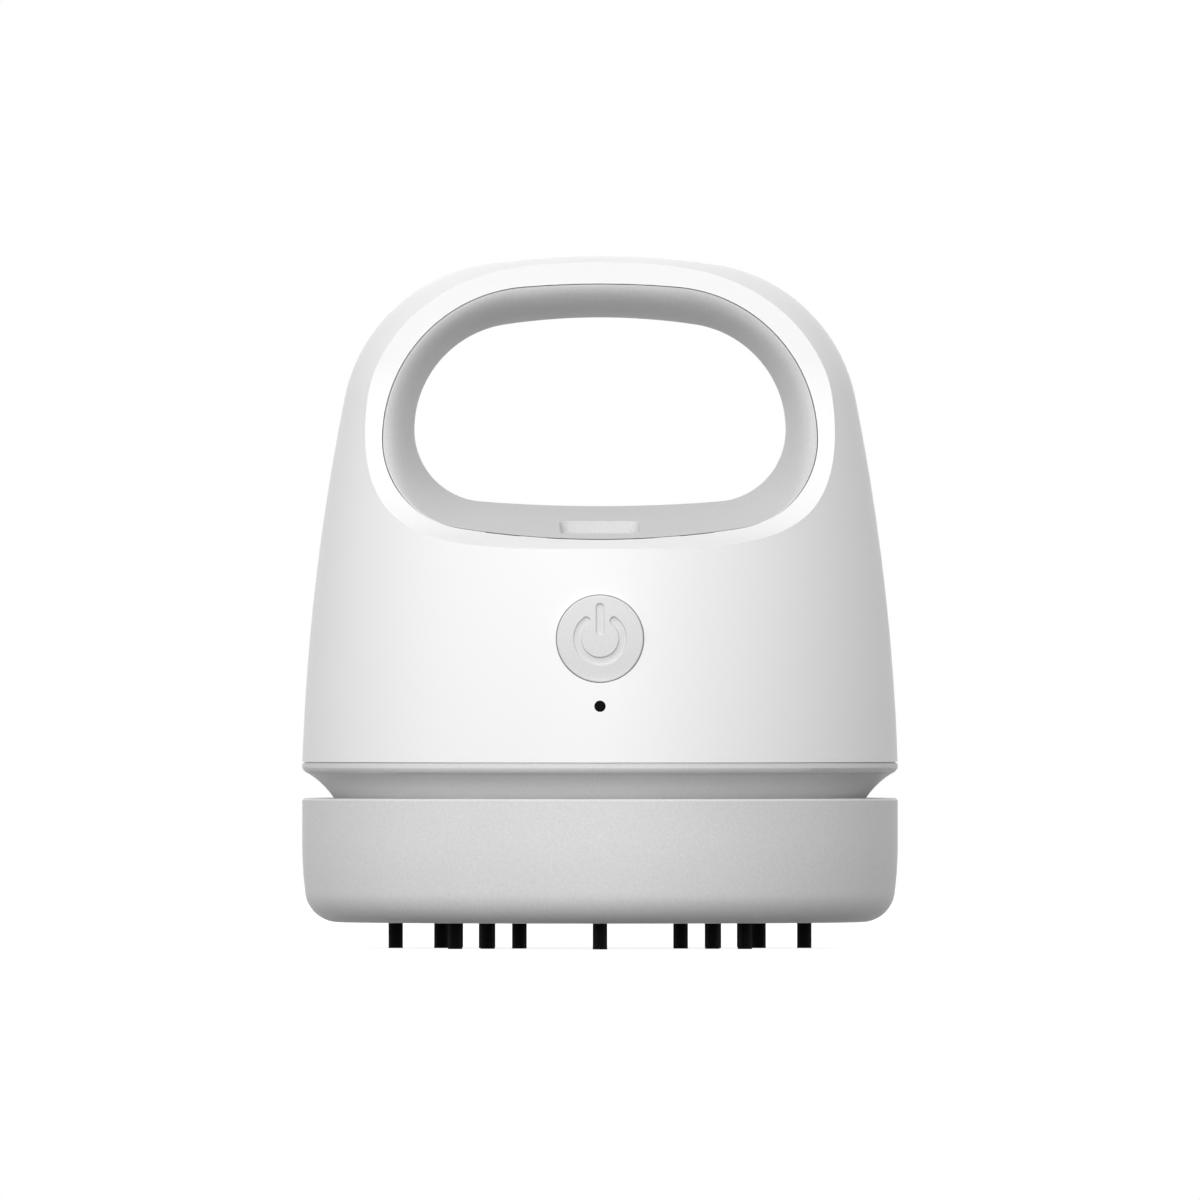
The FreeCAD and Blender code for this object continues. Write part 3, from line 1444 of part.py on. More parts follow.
# Leads: from the motor's terminals and from the cell's ends to the control board
lead_arc_share = 0.45
motor_leads = []
cell_leads = []
charge_leads = []
for side, sign in (("left", "-"), ("right", "")):
    motor_route = [
        (f"{sign}terminal_x", "-terminal_thickness / 2 - lead_radius", "cap_top"),
        (f"{sign}terminal_x", "-terminal_thickness / 2 - lead_radius", "cap_top + motor_lead_rise"),
        (f"{sign}motor_lead_x", "-motor_lead_front", "cap_top + motor_lead_rise / 2"),
        (f"{sign}motor_lead_x", "-motor_lead_front - 2 * lead_radius", "motor_lead_end_z"),
        (f"{sign}motor_lead_x", "-board_back", "motor_lead_end_z"),
    ]
    motor_leads.append(formed(f"motor_lead_{side}", lead(motor_route, "lead_radius")))
    cell_route = [
        (f"{sign}cell_length / 2", "cell_y", "cell_z"),
        (f"{sign}(cell_length / 2 + cell_lead_out)", "cell_y", "cell_z"),
        (f"{sign}(cell_length / 2 + cell_lead_out)", "cell_lead_front", "(cell_z + cell_lead_z) / 2"),
        (f"{sign}cell_lead_turn_x", "-cell_lead_turn_y", "cell_lead_z"),
        (f"{sign}cell_lead_end_x", "-cell_lead_end_y", "cell_lead_end_z"),
        (f"{sign}cell_lead_end_x", "-board_back", "cell_lead_end_z"),
    ]
    cell_leads.append(formed(f"cell_lead_{side}", lead(cell_route, "lead_radius")))
    charge_lead_z = "charge_board_top + charge_lead_rise"
    charge_route = [
        (f"{sign}charge_lead_x", "charge_lead_y", "charge_board_top"),
        (f"{sign}charge_lead_x", "charge_lead_y", charge_lead_z),
        (f"{sign}charge_lead_x", "charge_lead_front_y", charge_lead_z),
        (f"{sign}charge_lead_turn_x", "charge_lead_turn_y", charge_lead_z),
        (f"{sign}charge_lead_side_x", "charge_lead_side_y", charge_lead_z),
        (f"{sign}charge_lead_side_x", "-charge_lead_fore_y", charge_lead_z),
        (f"{sign}charge_lead_end_x", "-charge_lead_end_y", charge_lead_z),
        (f"{sign}charge_lead_end_x", "-board_back", charge_lead_z),
    ]
    charge_leads.append(formed(f"charge_lead_{side}", lead(charge_route, "lead_radius")))
sub_part(group("motor_leads", motor_leads), "motor_leads")
sub_part(group("battery_leads", cell_leads), "battery_leads")
sub_part(group("charge_leads", charge_leads), "charge_leads")

# Dust cup: the grey lower body, open at the top, with a ledge that carries the brush plate
derive(
    flange_top="tuft_reach + plate_flange_thickness",
    ledge_bottom="flange_top + gasket_thickness",
    ledge_top="ledge_bottom + ledge_thickness",
    cup_inner="body_radius - cup_wall",
    plate_top="flange_top + plate_boss_rise",
)
cup = turned("dust_cup", [
    ("plate_radius + plate_gap", "tuft_reach"),
    ("body_radius - cup_foot_inset", "tuft_reach", "cup_foot_radius", 1),
    ("body_radius - cup_taper", "tuft_reach + cup_foot_rise", "cup_side_radius", 1),
    ("body_radius", "tuft_reach + cup_side_rise"),
    ("body_radius", "cup_top - cup_edge"),
    ("body_radius - cup_edge", "cup_top"),
    ("cup_inner", "cup_top"),
    ("cup_inner", "ledge_top"),
    ("ledge_inner", "ledge_top"),
    ("ledge_inner", "ledge_bottom"),
    ("plate_radius + plate_gap", "ledge_bottom"),
])
plate_screw_place = polar("plate_screw_radius", "plate_screw_angle")
cup_boss = rounds("cup_boss", [(*plate_screw_place, "cup_boss_radius")], "ledge_bottom", cup)
around(cup, pad(cup, cup_boss, "ledge_thickness + cup_boss_height"), "plate_screws_count")
cup_pilot_hole = (*plate_screw_place, "plate_screw_shank + running_gap")
cup_pilot = rounds("cup_pilot", [cup_pilot_hole], "ledge_bottom", cup)
around(cup, pocket(cup, cup_pilot, "plate_screw_length", True), "plate_screws_count")
stop_corners = [
    ("-cup_stop_width / 2", "cup_stop_inner"),
    ("cup_stop_width / 2", "cup_stop_inner"),
    ("cup_stop_width / 2", "cup_inner + cup_wall / 4"),
    ("-cup_stop_width / 2", "cup_inner + cup_wall / 4"),
]
cup_stop = outline("cup_stop", stop_corners, "XY_Plane", "ledge_bottom", cup)
around(cup, pad(cup, cup_stop, "filter_bottom - ledge_bottom"), "cup_stops")
sub_part(cup, "dust_cup")

# Collar inside the cup's rim: it rides on the seal ring and leaves the air its way out
sub_part(
    turned("cup_collar", [
        ("cup_inner - running_gap", "collar_lift"),
        ("cup_inner - running_gap", "cup_top - collar_drop"),
        ("neck_waist + exhaust_gap", "cup_top - collar_drop"),
        ("neck_waist + exhaust_gap", "collar_step + collar_ramp"),
        ("seal_outer + running_gap", "collar_step"),
        ("seal_outer + running_gap", "collar_lift"),
    ]),
    "cup_collar",
)

# Brush plate: the removable bottom, with the air inlet and the sockets of the bristles
tuft_places = ["tuft_inner", "tuft_middle", "tuft_outer"]
plate = turned("brush_plate", [
    ("inlet_radius + inlet_edge", "tuft_reach"),
    ("plate_radius", "tuft_reach"),
    ("plate_radius", "flange_top"),
    ("ledge_inner - plate_gap", "flange_top"),
    ("ledge_inner - plate_gap", "plate_top"),
    ("inlet_radius", "plate_top"),
    ("inlet_radius", "tuft_reach + inlet_edge"),
])
sockets = rounds("tuft_sockets", [(place, "0", "tuft_radius + tuft_gap") for place in tuft_places],
                 "tuft_reach", plate)
around(plate, pocket(plate, sockets, "tuft_depth", True), "tuft_rows")
plate_hole = rounds("plate_hole", [(*plate_screw_place, "plate_screw_shank + slip_gap")],
                    "tuft_reach - overrun", plate)
around(plate, pocket(plate, plate_hole, "plate_flange_thickness + 2 * overrun", True), "plate_screws_count")
plate_sink = rounds("plate_sink", [(*plate_screw_place, "plate_screw_head + slip_gap")], "tuft_reach", plate)
around(plate, pocket(plate, plate_sink, "plate_screw_head_height", True), "plate_screws_count")
sub_part(plate, "brush_plate")

gasket = turned("plate_gasket", [
    ("ledge_inner", "flange_top"),
    ("plate_radius", "flange_top"),
    ("plate_radius", "ledge_bottom"),
    ("ledge_inner", "ledge_bottom"),
])
gasket_hole = rounds("gasket_hole", [(*plate_screw_place, "plate_screw_shank + slip_gap")],
                     "flange_top - overrun", gasket)
around(gasket, pocket(gasket, gasket_hole, "gasket_thickness + 2 * overrun", True), "plate_screws_count")
sub_part(gasket, "plate_gasket")
sub_part(
    group("plate_screws", [
        screw(f"plate_screw_{index + 1}", "plate_screw_head", "plate_screw_shank", "plate_screw_head_height",
              "plate_screw_length",
              *polar("plate_screw_radius", f"plate_screw_angle + {index} * 360 / plate_screws_count"),
              "tuft_reach + plate_screw_head_height")
        for index in range(int(value("plate_screws_count")))
    ]),
    "plate_screws",
)

# Inlet duct: the short chimney that keeps swept-up dust in the cup
sub_part(
    turned("inlet_duct", [
        ("inlet_radius", "plate_top"),
        ("duct_flange", "plate_top"),
        ("duct_flange", "plate_top + duct_flange_thickness"),
        ("inlet_radius + duct_wall + duct_flange_thickness", "plate_top + duct_flange_thickness",
         "duct_flange_thickness", -1),
        ("inlet_radius + duct_wall", "plate_top + 2 * duct_flange_thickness"),
        ("inlet_radius + duct_wall", "plate_top + duct_height - duct_edge"),
        ("inlet_radius + duct_wall - duct_edge", "plate_top + duct_height"),
        ("inlet_radius", "plate_top + duct_height"),
    ]),
    "inlet_duct",
)

# Bristles: eight rows of three stiff tufts, set in the plate and standing on the desk
for row in range(int(value("tuft_rows"))):
    tufts = [
        cylinder(f"tuft_{row + 1}_{index + 1}", "tuft_radius", "tuft_reach + tuft_depth",
                 **dict(zip("xy", polar(place, f"{row} * 360 / tuft_rows"))))
        for index, place in enumerate(tuft_places)
    ]
    sub_part(group(f"brush_row_{row + 1}", tufts), f"brush_row_{row + 1}")

# Every object has to be sound before anything is written
doc.recompute()
for thing in doc.Objects:
    if {"Invalid", "Error"} & set(thing.State):
        raise RuntimeError(f"{thing.Name} did not build: {thing.State}")
for thing in sub_parts:
    if thing.Shape.isNull() or not thing.Shape.isValid() or not thing.Shape.Solids:
        raise RuntimeError(f"{thing.Label} has no sound solid")

os.makedirs("parts", exist_ok=True)
for thing in sub_parts:
    thing.Shape.exportStep(f"parts/{thing.Label}.step")
    print(f"{thing.Label}: {len(thing.Shape.Solids)} solid(s), {thing.Shape.Volume:.1f} mm3")
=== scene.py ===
import math

import bpy
import numpy as np
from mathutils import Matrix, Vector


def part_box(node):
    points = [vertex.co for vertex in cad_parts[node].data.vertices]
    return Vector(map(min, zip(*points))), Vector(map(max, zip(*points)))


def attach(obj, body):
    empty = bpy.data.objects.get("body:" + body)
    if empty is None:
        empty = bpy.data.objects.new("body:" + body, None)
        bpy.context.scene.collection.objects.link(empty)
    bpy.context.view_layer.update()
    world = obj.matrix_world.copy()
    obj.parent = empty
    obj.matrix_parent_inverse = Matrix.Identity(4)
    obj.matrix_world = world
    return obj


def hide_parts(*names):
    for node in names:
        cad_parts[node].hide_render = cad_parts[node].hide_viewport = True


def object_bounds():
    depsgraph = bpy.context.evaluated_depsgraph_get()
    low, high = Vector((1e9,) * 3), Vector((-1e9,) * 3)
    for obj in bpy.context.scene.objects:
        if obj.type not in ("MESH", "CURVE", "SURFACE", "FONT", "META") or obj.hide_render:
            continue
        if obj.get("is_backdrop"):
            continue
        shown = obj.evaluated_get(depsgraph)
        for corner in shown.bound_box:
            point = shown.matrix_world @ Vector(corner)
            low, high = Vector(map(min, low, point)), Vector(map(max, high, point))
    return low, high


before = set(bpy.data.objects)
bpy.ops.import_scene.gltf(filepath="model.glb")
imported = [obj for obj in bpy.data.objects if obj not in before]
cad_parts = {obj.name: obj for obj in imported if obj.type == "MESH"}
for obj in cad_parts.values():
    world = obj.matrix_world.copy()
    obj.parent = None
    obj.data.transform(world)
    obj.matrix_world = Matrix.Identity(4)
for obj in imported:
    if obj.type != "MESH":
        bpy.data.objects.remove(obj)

cad_low, cad_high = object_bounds()
mm = 0.001

# Camera: level and straight in front, as in the photograph, whose 1200 pixels take in a little more
# than 173 mm. The lens is very long, so the cup's lower edge draws as a straight line.
frame_pixels = 1200
object_width_pixels = 595.6
desk_pixel = 948
pixel_size = (cad_high.x - cad_low.x) / object_width_pixels
eye_height = (desk_pixel - frame_pixels / 2) * pixel_size
lens = bpy.data.cameras.new("camera")
lens.lens = 1500
distance = pixel_size * frame_pixels * lens.lens / lens.sensor_width
lens.clip_end = 2 * distance
camera = bpy.data.objects.new("camera", lens)
camera.location = (0, -distance, eye_height)
camera.rotation_euler = (math.pi / 2, 0, 0)
bpy.context.scene.collection.objects.link(camera)
bpy.context.scene.camera = camera
bpy.context.scene.view_settings.view_transform = "Standard"


# Studio: a pale floor under soft light. The sky gives even light from all round. One wide lamp lies
# low in front, one stands high on the left, and weak ones fill the far left, the right, which is the
# darker side, and the back. The camera and the reflections see a white background.
class Value:
    """An output of a shader node. Python's own operators on it add the Math nodes they stand for."""

    def __init__(self, nodes, socket):
        self.nodes = nodes
        self.socket = socket

    def maths(self, operation, first, second):
        return self.nodes.add("Math", {"operation": operation}, {0: first, 1: second})

    def __add__(self, other):
        return self.maths("ADD", self, other)

    __radd__ = __add__

    def __mul__(self, other):
        return self.maths("MULTIPLY", self, other)

    __rmul__ = __mul__

    def __sub__(self, other):
        return self.maths("SUBTRACT", self, other)

    def __rsub__(self, other):
        return self.maths("SUBTRACT", other, self)

    def __gt__(self, other):
        return self.maths("GREATER_THAN", self, other)


class Nodes:
    """The shader nodes of a material, or of the sky, with one way to add any of them."""

    def __init__(self, owner):
        owner.use_nodes = True
        self.tree = owner.node_tree
        self.tree.nodes.clear()

    def add(self, kind, settings=None, inputs=None, output=0):
        """Adds a node of a type: first its settings, then its inputs, and gives back one output."""
        node = self.tree.nodes.new("ShaderNode" + kind)
        for name, setting in (settings or {}).items():
            setattr(node, name, setting)
        for name, given in (inputs or {}).items():
            if isinstance(given, Value):
                self.tree.links.new(given.socket, node.inputs[name])
            else:
                node.inputs[name].default_value = given
        return Value(self, node.outputs[output]) if node.outputs else None


def grey(level):
    """A neutral colour of one brightness."""
    return (level, level, level, 1)


def seen(nodes):
    """True for a ray that the camera sends out, or that it sees reflected or through something."""
    camera_ray, glossy_ray, passing_ray = (
        nodes.add("LightPath", output=f"Is {kind} Ray") for kind in ("Camera", "Glossy", "Transmission")
    )
    return (camera_ray + glossy_ray + passing_ray) > 0


def put(name, mesh):
    """An object at the origin that holds a mesh."""
    thing = bpy.data.objects.new(name, mesh)
    bpy.context.scene.collection.objects.link(thing)
    return thing


sky_light = 0.44
sky = bpy.data.worlds.new("sky")
bpy.context.scene.world = sky
nodes = Nodes(sky)
background = nodes.add("MixShader", inputs={
    0: seen(nodes),
    1: nodes.add("Background", inputs={"Color": grey(sky_light)}),
    2: nodes.add("Background", inputs={"Color": grey(1)}),
})
nodes.add("OutputWorld", inputs={"Surface": background})

floor_half = 1.5
floor_drop = 0.05 * mm
floor_bounce = 0.14
floor_glow = 0.9
floor_tone = 0.4
floor_mesh = bpy.data.meshes.new("floor")
floor_corners = floor_half * np.array([(-1, -1, 0), (1, -1, 0), (1, 1, 0), (-1, 1, 0)])
floor_corners[:, 2] = cad_low.z - floor_drop
floor_mesh.from_pydata(floor_corners.tolist(), [], [(0, 1, 2, 3)])
floor = put("floor", floor_mesh)
floor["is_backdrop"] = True
paint = bpy.data.materials.new("floor_paint")
floor_mesh.materials.append(paint)
nodes = Nodes(paint)
glowing = nodes.add("AddShader", inputs={
    0: nodes.add("BsdfDiffuse", inputs={"Color": grey(floor_tone)}),
    1: nodes.add("Emission", inputs={"Color": grey(1), "Strength": floor_glow}),
})
lit = nodes.add("MixShader", inputs={
    0: seen(nodes),
    1: nodes.add("BsdfDiffuse", inputs={"Color": grey(floor_bounce)}),
    2: glowing,
})
one_sided = nodes.add("MixShader", inputs={
    0: nodes.add("NewGeometry", output="Backfacing"),
    1: lit,
    2: nodes.add("BsdfTransparent"),
})
nodes.add("OutputMaterial", inputs={"Surface": one_sided})


def lamp(name, azimuth, elevation, level):
    """A square soft lamp aimed at the object. A level of 1 lights a white card facing it to white."""
    reach, side = 1.0, 0.6
    light = bpy.data.lights.new(name, "AREA")
    light.size = side
    light.energy = level * (math.pi * reach) ** 2
    thing = bpy.data.objects.new(name, light)
    across, up = math.radians(azimuth), math.radians(elevation)
    aim = np.array([math.sin(across) * math.cos(up), -math.cos(across) * math.cos(up), math.sin(up)])
    thing.location = aim * reach + np.array([0, 0, eye_height])
    thing.rotation_euler = (math.pi / 2 - up, 0, across)
    bpy.context.scene.collection.objects.link(thing)


lamp("front_lamp", azimuth=4, elevation=4, level=0.535)
lamp("high_lamp", azimuth=-30, elevation=35, level=0.34)
lamp("left_lamp", azimuth=-65, elevation=5, level=0.2)
lamp("right_lamp", azimuth=55, elevation=40, level=0.13)
lamp("back_lamp", azimuth=180, elevation=12, level=0.1)


# Shell: the white bell of the body, injection-moulded in one piece and satin to the touch. Its
# gloss and tone drift a little over the surface, as they do on any large moulding.
def dress(material, *names):
    """Gives a material to CAD nodes."""
    for name in names:
        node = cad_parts[name]
        node.data.materials.clear()
        node.data.materials.append(material)


def moulded(name, colour, roughness, grain_size, grain_depth, speckle, gloss=0.4):
    """Moulded plastic. Fine noise gives the mould's spark-eroded grain, as a bump and as specks whose
    tone varies by the share called speckle. Broad noise lets the roughness drift."""
    drift_size = 18 * mm
    material = bpy.data.materials.new(name)
    nodes = Nodes(material)
    place = nodes.add("TexCoord", output="Object")
    grain = nodes.add("TexNoise", inputs={
        "Vector": place, "Scale": 1 / grain_size, "Detail": 3, "Roughness": 0.6,
    })
    drift = nodes.add("TexNoise", inputs={"Vector": place, "Scale": 1 / drift_size, "Detail": 1})
    mixed = nodes.add("Mix", {"data_type": "RGBA"}, {
        0: grain * 0.8 + drift * 0.2,
        6: tuple(part * (1 - speckle) for part in colour) + (1,),
        7: tuple(min(part * (1 + speckle), 1) for part in colour) + (1,),
    }, 2)
    bump = nodes.add("Bump", inputs={"Distance": grain_depth, "Height": grain})
    skin = nodes.add("BsdfPrincipled", inputs={
        "Base Color": mixed,
        "Roughness": roughness + (drift - 0.5) * 0.12 + (grain - 0.5) * 0.08,
        "Specular IOR Level": gloss,
        "Normal": bump,
    })
    nodes.add("OutputMaterial", inputs={"Surface": skin})
    return material


shell_finish = moulded("shell_plastic", (0.88, 0.88, 0.88), 0.46, 0.25 * mm, 0.004 * mm, 0.012)
dress(shell_finish, "top_shell")

# Handle liner: two grey moulded halves that meet in the middle of the grip and roll outwards, flush
# with the shell. Each is one closed surface round the window: its rolled inside, the edge in the seam
# and the outside. The front one holds a notch in its floor, and four lugs take the screws.
def surface(name, grid, joined=False):
    """A mesh over a grid of points, rows by columns, in four-sided faces. The columns close into
    rings. The last ring joins the first, or else a fan about its middle closes each of the two."""
    rows, columns = grid.shape[:2]
    points = grid.reshape(-1, 3)
    corners = np.arange(rows * columns).reshape(rows, columns)
    ends = corners[[0, -1]]
    if joined:
        corners = np.vstack([corners, corners[:1]])
    beside = np.roll(corners, -1, axis=1)
    faces = np.stack([corners[:-1], beside[:-1], beside[1:], corners[1:]], axis=-1)
    faces = faces.reshape(-1, 4).tolist()
    for ring, row, turn in ([] if joined else zip(ends, (0, -1), (-1, 1))):
        middle = np.full(columns, len(points))
        points = np.vstack([points, grid[row].mean(axis=0)])
        faces += np.stack([ring, np.roll(ring, -1), middle], axis=-1)[:, ::turn].tolist()
    mesh = bpy.data.meshes.new(name)
    mesh.from_pydata(points.tolist(), [], faces)
    mesh.update()
    return put(name, mesh)


def finished(thing, material, body, slot, *stands_for):
    """Shades a piece smoothly except at corners, gives it its material, parents it to its body's empty
    and hides the CAD nodes it stands for.
    """
    corner = math.radians(40)
    thing.data.shade_smooth()
    thing.data.set_sharp_from_angle(angle=corner)
    thing.data.materials.append(material)
    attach(thing, body)
    if stands_for:
        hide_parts(*stands_for)


def smooth_step(share):
    """Rises from 0 to 1 with level ends: 3 times the share squared, less twice its cube."""
    share = np.clip(share, 0, 1)
    return share * share * (3 - 2 * share)


def window_outline(half, middle, rise, drop, crown_rise, floor_rise):
    """Points round a window of six tangent arcs, as x and z: a flat crown arc and a flat floor arc,
    joined on each side by two corner arcs that meet at the widest height."""
    upper, lower = rise - crown_rise, drop - floor_rise
    crown = ((half - upper) ** 2 + rise ** 2 - upper ** 2) / (2 * crown_rise)
    flat = ((half - lower) ** 2 + drop ** 2 - lower ** 2) / (2 * floor_rise)
    crown_tilt = math.atan2(half - upper, crown - rise)
    floor_tilt = math.atan2(half - lower, flat - drop)
    quarter = math.pi / 2
    corner_points, crown_points, floor_points = 40, 24, 420
    arcs = [
        (half - upper, middle, upper, 0, quarter - crown_tilt, corner_points),
        (0, middle + rise - crown, crown, quarter - crown_tilt, quarter + crown_tilt, crown_points),
        (upper - half, middle, upper, quarter + crown_tilt, 2 * quarter, corner_points),
        (lower - half, middle, lower, 2 * quarter, 3 * quarter - floor_tilt, corner_points),
        (0, middle - drop + flat, flat, 3 * quarter - floor_tilt, 3 * quarter + floor_tilt,
         floor_points),
        (half - lower, middle, lower, 3 * quarter + floor_tilt, 4 * quarter, corner_points),
    ]
    points = []
    for centre_x, centre_z, radius, start, finish, count in arcs:
        angles = np.linspace(start, finish, count, endpoint=False)
        arc = np.stack([radius * np.cos(angles), radius * np.sin(angles)], axis=-1)
        points.append(arc + (centre_x, centre_z))
    return np.concatenate(points)


def face_depth(height):
    """How far the handle's face lies from the middle plane: level above the scoop's height and a
    hollow arc below it, radius - sqrt(radius squared - fall squared) further out."""
    fall = np.clip(scoop_height - height, 0, scoop_radius)
    return handle_half_depth + scoop_radius - np.sqrt(scoop_radius ** 2 - fall ** 2)


def liner_ring(share, wall):
    """One ring of the liner, at a share of the way from the middle plane to the face. The sides and
    the crown follow a quarter of an ellipse, 1 - sqrt(1 - share squared), and the floor a power."""
    throat = window_outline(throat_half + wall, throat_middle, throat_rise + wall, throat_drop + wall,
                            throat_crown, throat_floor)
    mouth = window_outline(window_half - seam + wall, window_middle, window_rise - seam + wall,
                           window_drop - seam + wall, window_crown, window_floor)
    level = (mouth[:, 1] - (window_middle - window_drop)) / window_drop
    side = smooth_step(level)
    blend = side * (1 - np.sqrt(1 - share ** 2)) + (1 - side) * share ** floor_power
    flat = throat + (mouth - throat) * blend[:, None]
    depth = face_depth(mouth[:, 1]) * share
    return np.stack([flat[:, 0], -depth, flat[:, 1]], axis=-1)


def notched(grid):
    """Sinks the notch into the floor. Its outline is straight at the front and round in its two back
    corners. Inside it the surface falls down a steep smooth step to a flat pan, and the foot of the
    step is a quarter circle."""
    across = np.abs(grid[..., 0]) - notch_half + notch_end
    along = grid[..., 1] + notch_back + notch_end
    outside = np.hypot(np.maximum(across, 0), np.maximum(along, 0))
    inward = notch_end - outside - np.minimum(np.maximum(across, along), 0)
    near = np.clip(notch_corner - inward, 0, notch_corner)
    pan = notch_floor + notch_corner - np.sqrt(notch_corner ** 2 - near ** 2)
    drop = np.maximum(grid[..., 2] - pan, 0) * (grid[..., 2] < window_middle)
    sunk = grid[..., 2] - drop * smooth_step(inward / notch_step)
    return np.concatenate([grid[..., :2], sunk[..., None]], axis=-1)


seam = 0.12 * mm
window_half, window_middle, window_rise, window_drop = 31.4 * mm, 73.35 * mm, 22.5 * mm, 14.45 * mm
throat_half, throat_middle, throat_rise, throat_drop = 26.8 * mm, 74.8 * mm, 16.25 * mm, 11 * mm
handle_half_depth, scoop_radius, scoop_height = 15 * mm, 27 * mm, 84.5 * mm
window_crown, window_floor = 0.4 * mm, 1.45 * mm
throat_crown, throat_floor = 0.84 * mm, 0.66 * mm
liner_wall, edge_depth = 1.6 * mm, 2 * mm
floor_power = 1.6
notch_half, notch_back, notch_end, notch_step = 5.85 * mm, 20.3 * mm, 1.7 * mm, 0.3 * mm
notch_floor, notch_corner = 59.8 * mm, 0.5 * mm
boss_half, boss_foot, boss_back = 7.4 * mm, 58.6 * mm, 18 * mm
lug_middle, lug_half, lug_depth = 14 * mm, 2.5 * mm, 4 * mm
lug_hole, lug_screw, lug_low, lug_high = 1.15 * mm, 58.6 * mm, 55.8 * mm, 63 * mm

liner_finish = moulded("liner_plastic", (0.62, 0.62, 0.62), 0.5, 0.3 * mm, 0.012 * mm, 0.15,
                       gloss=0.12)
ring_shares = np.sin(np.radians(np.linspace(0, 90, 64)))
notch_wall_shares = np.linspace(0.6, 0.69, 30)
outside_shares = (0.75, 0.66, 0.58, 0.5, 0.25, 0)
inside = np.array([liner_ring(share, 0) for share in np.union1d(ring_shares, notch_wall_shares)])
edge = inside[-1] + (0, edge_depth, 0)
outside = np.array([liner_ring(share, liner_wall) for share in outside_shares])
under_notch = (np.abs(outside[..., 0]) < boss_half) & (outside[..., 1] < -boss_back)
under_notch &= outside[..., 2] < window_middle
thickened = outside.copy()
thickened[under_notch, 2] = np.minimum(thickened[under_notch, 2], boss_foot)
rear = np.concatenate([inside, [edge], outside]) * (1, -1, 1)
front = np.concatenate([notched(inside), [edge], thickened])[:, ::-1]
finished(surface("liner_front", front, joined=True), liner_finish, "housing", "grey_plastic",
         "handle_liner_front")
finished(surface("liner_rear", rear, joined=True), liner_finish, "housing", "grey_plastic",
         "handle_liner_rear")
angles = np.linspace(0, 2 * math.pi, 64, endpoint=False)
turned = np.stack([np.cos(angles), np.sin(angles)], axis=-1)
room = np.where(turned[:, 1] > 0, lug_high - lug_screw, lug_screw - lug_low)
slopes = np.maximum(np.abs(turned), 1e-6)
reach = np.minimum(lug_half / slopes[:, 0], room / slopes[:, 1])
for half_name, near, far in (("front", -lug_depth, 0), ("rear", 0, lug_depth)):
    corners = [(lug_hole, near), (reach, near), (reach, far), (lug_hole, far)]
    for side_name, middle in (("left", -lug_middle), ("right", lug_middle)):
        grid = np.zeros((4, len(angles), 3)) + (middle, 0, lug_screw)
        for ring, (radius, y) in zip(grid, corners):
            ring[:, 0] += radius * turned[:, 0]
            ring[:, 1] += y
            ring[:, 2] += radius * turned[:, 1]
        lug = surface(f"liner_lug_{half_name}_{side_name}", grid[:, ::-1], joined=True)
        finished(lug, liner_finish, "housing", "grey_plastic", f"handle_liner_{half_name}")

# Fan housing and dust cup, with the smaller mouldings that go in them: the grey lower body, in the
# same matt plastic. The grain is a little coarser on the cup, where fingers pull.
housing_finish = moulded("housing_plastic", (0.73, 0.73, 0.73), 0.5, 0.3 * mm, 0.012 * mm, 0.14,
                         gloss=0.22)
dress(housing_finish, "fan_housing", "fan_floor", "filter_frame", "battery_cradle")
cup_finish = moulded("cup_plastic", (0.70, 0.70, 0.70), 0.48, 0.34 * mm, 0.016 * mm, 0.16,
                     gloss=0.25)
dress(cup_finish, "dust_cup", "cup_collar", "brush_plate", "inlet_duct")

# Seam tongue: a thin ring of the housing's plastic that stands in the gap under the shell's foot, so
# that the two mouldings meet in a fine line. Each ring of its surface is a circle about the axis.
shell_low, shell_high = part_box("top_shell")
foot_radius = (shell_high.x - shell_low.x) / 2
deck_height = shell_low.z
tongue_recess, tongue_width, tongue_height = 0.3 * mm, 1.4 * mm, 0.2 * mm
turns = np.linspace(0, 2 * math.pi, 360, endpoint=False)
outer = foot_radius - tongue_recess
profile = [
    (outer, deck_height), (outer, deck_height + tongue_height),
    (outer - tongue_width, deck_height + tongue_height), (outer - tongue_width, deck_height),
]
tongue = np.array([
    np.stack([radius * np.cos(turns), radius * np.sin(turns), np.full_like(turns, height)], axis=-1)
    for radius, height in profile
])
finished(surface("seam_tongue", tongue, joined=True), housing_finish, "housing", "grey_plastic")

# Power button: a grey domed cap with a rounded edge and a power sign sunk into its face: a broken
# ring and a bar, cut with sloping walls. The face is one surface of rings about its axis.
def sign_distance(across, up, ring_radius, gap_angle, bar_low, bar_high):
    """How far each place is from the middle line of the power sign, which is an arc of a circle that
    leaves a gap at its top, and a straight bar in that gap."""
    around = np.abs(np.arctan2(across, up))
    off_ring = np.abs(np.hypot(across, up) - ring_radius)
    end_x, end_y = ring_radius * math.sin(gap_angle), ring_radius * math.cos(gap_angle)
    off_end = np.hypot(np.abs(across) - end_x, up - end_y)
    arc = np.where(around > gap_angle, off_ring, off_end)
    bar = np.hypot(across, up - np.clip(up, bar_low, bar_high))
    return np.minimum(arc, bar)


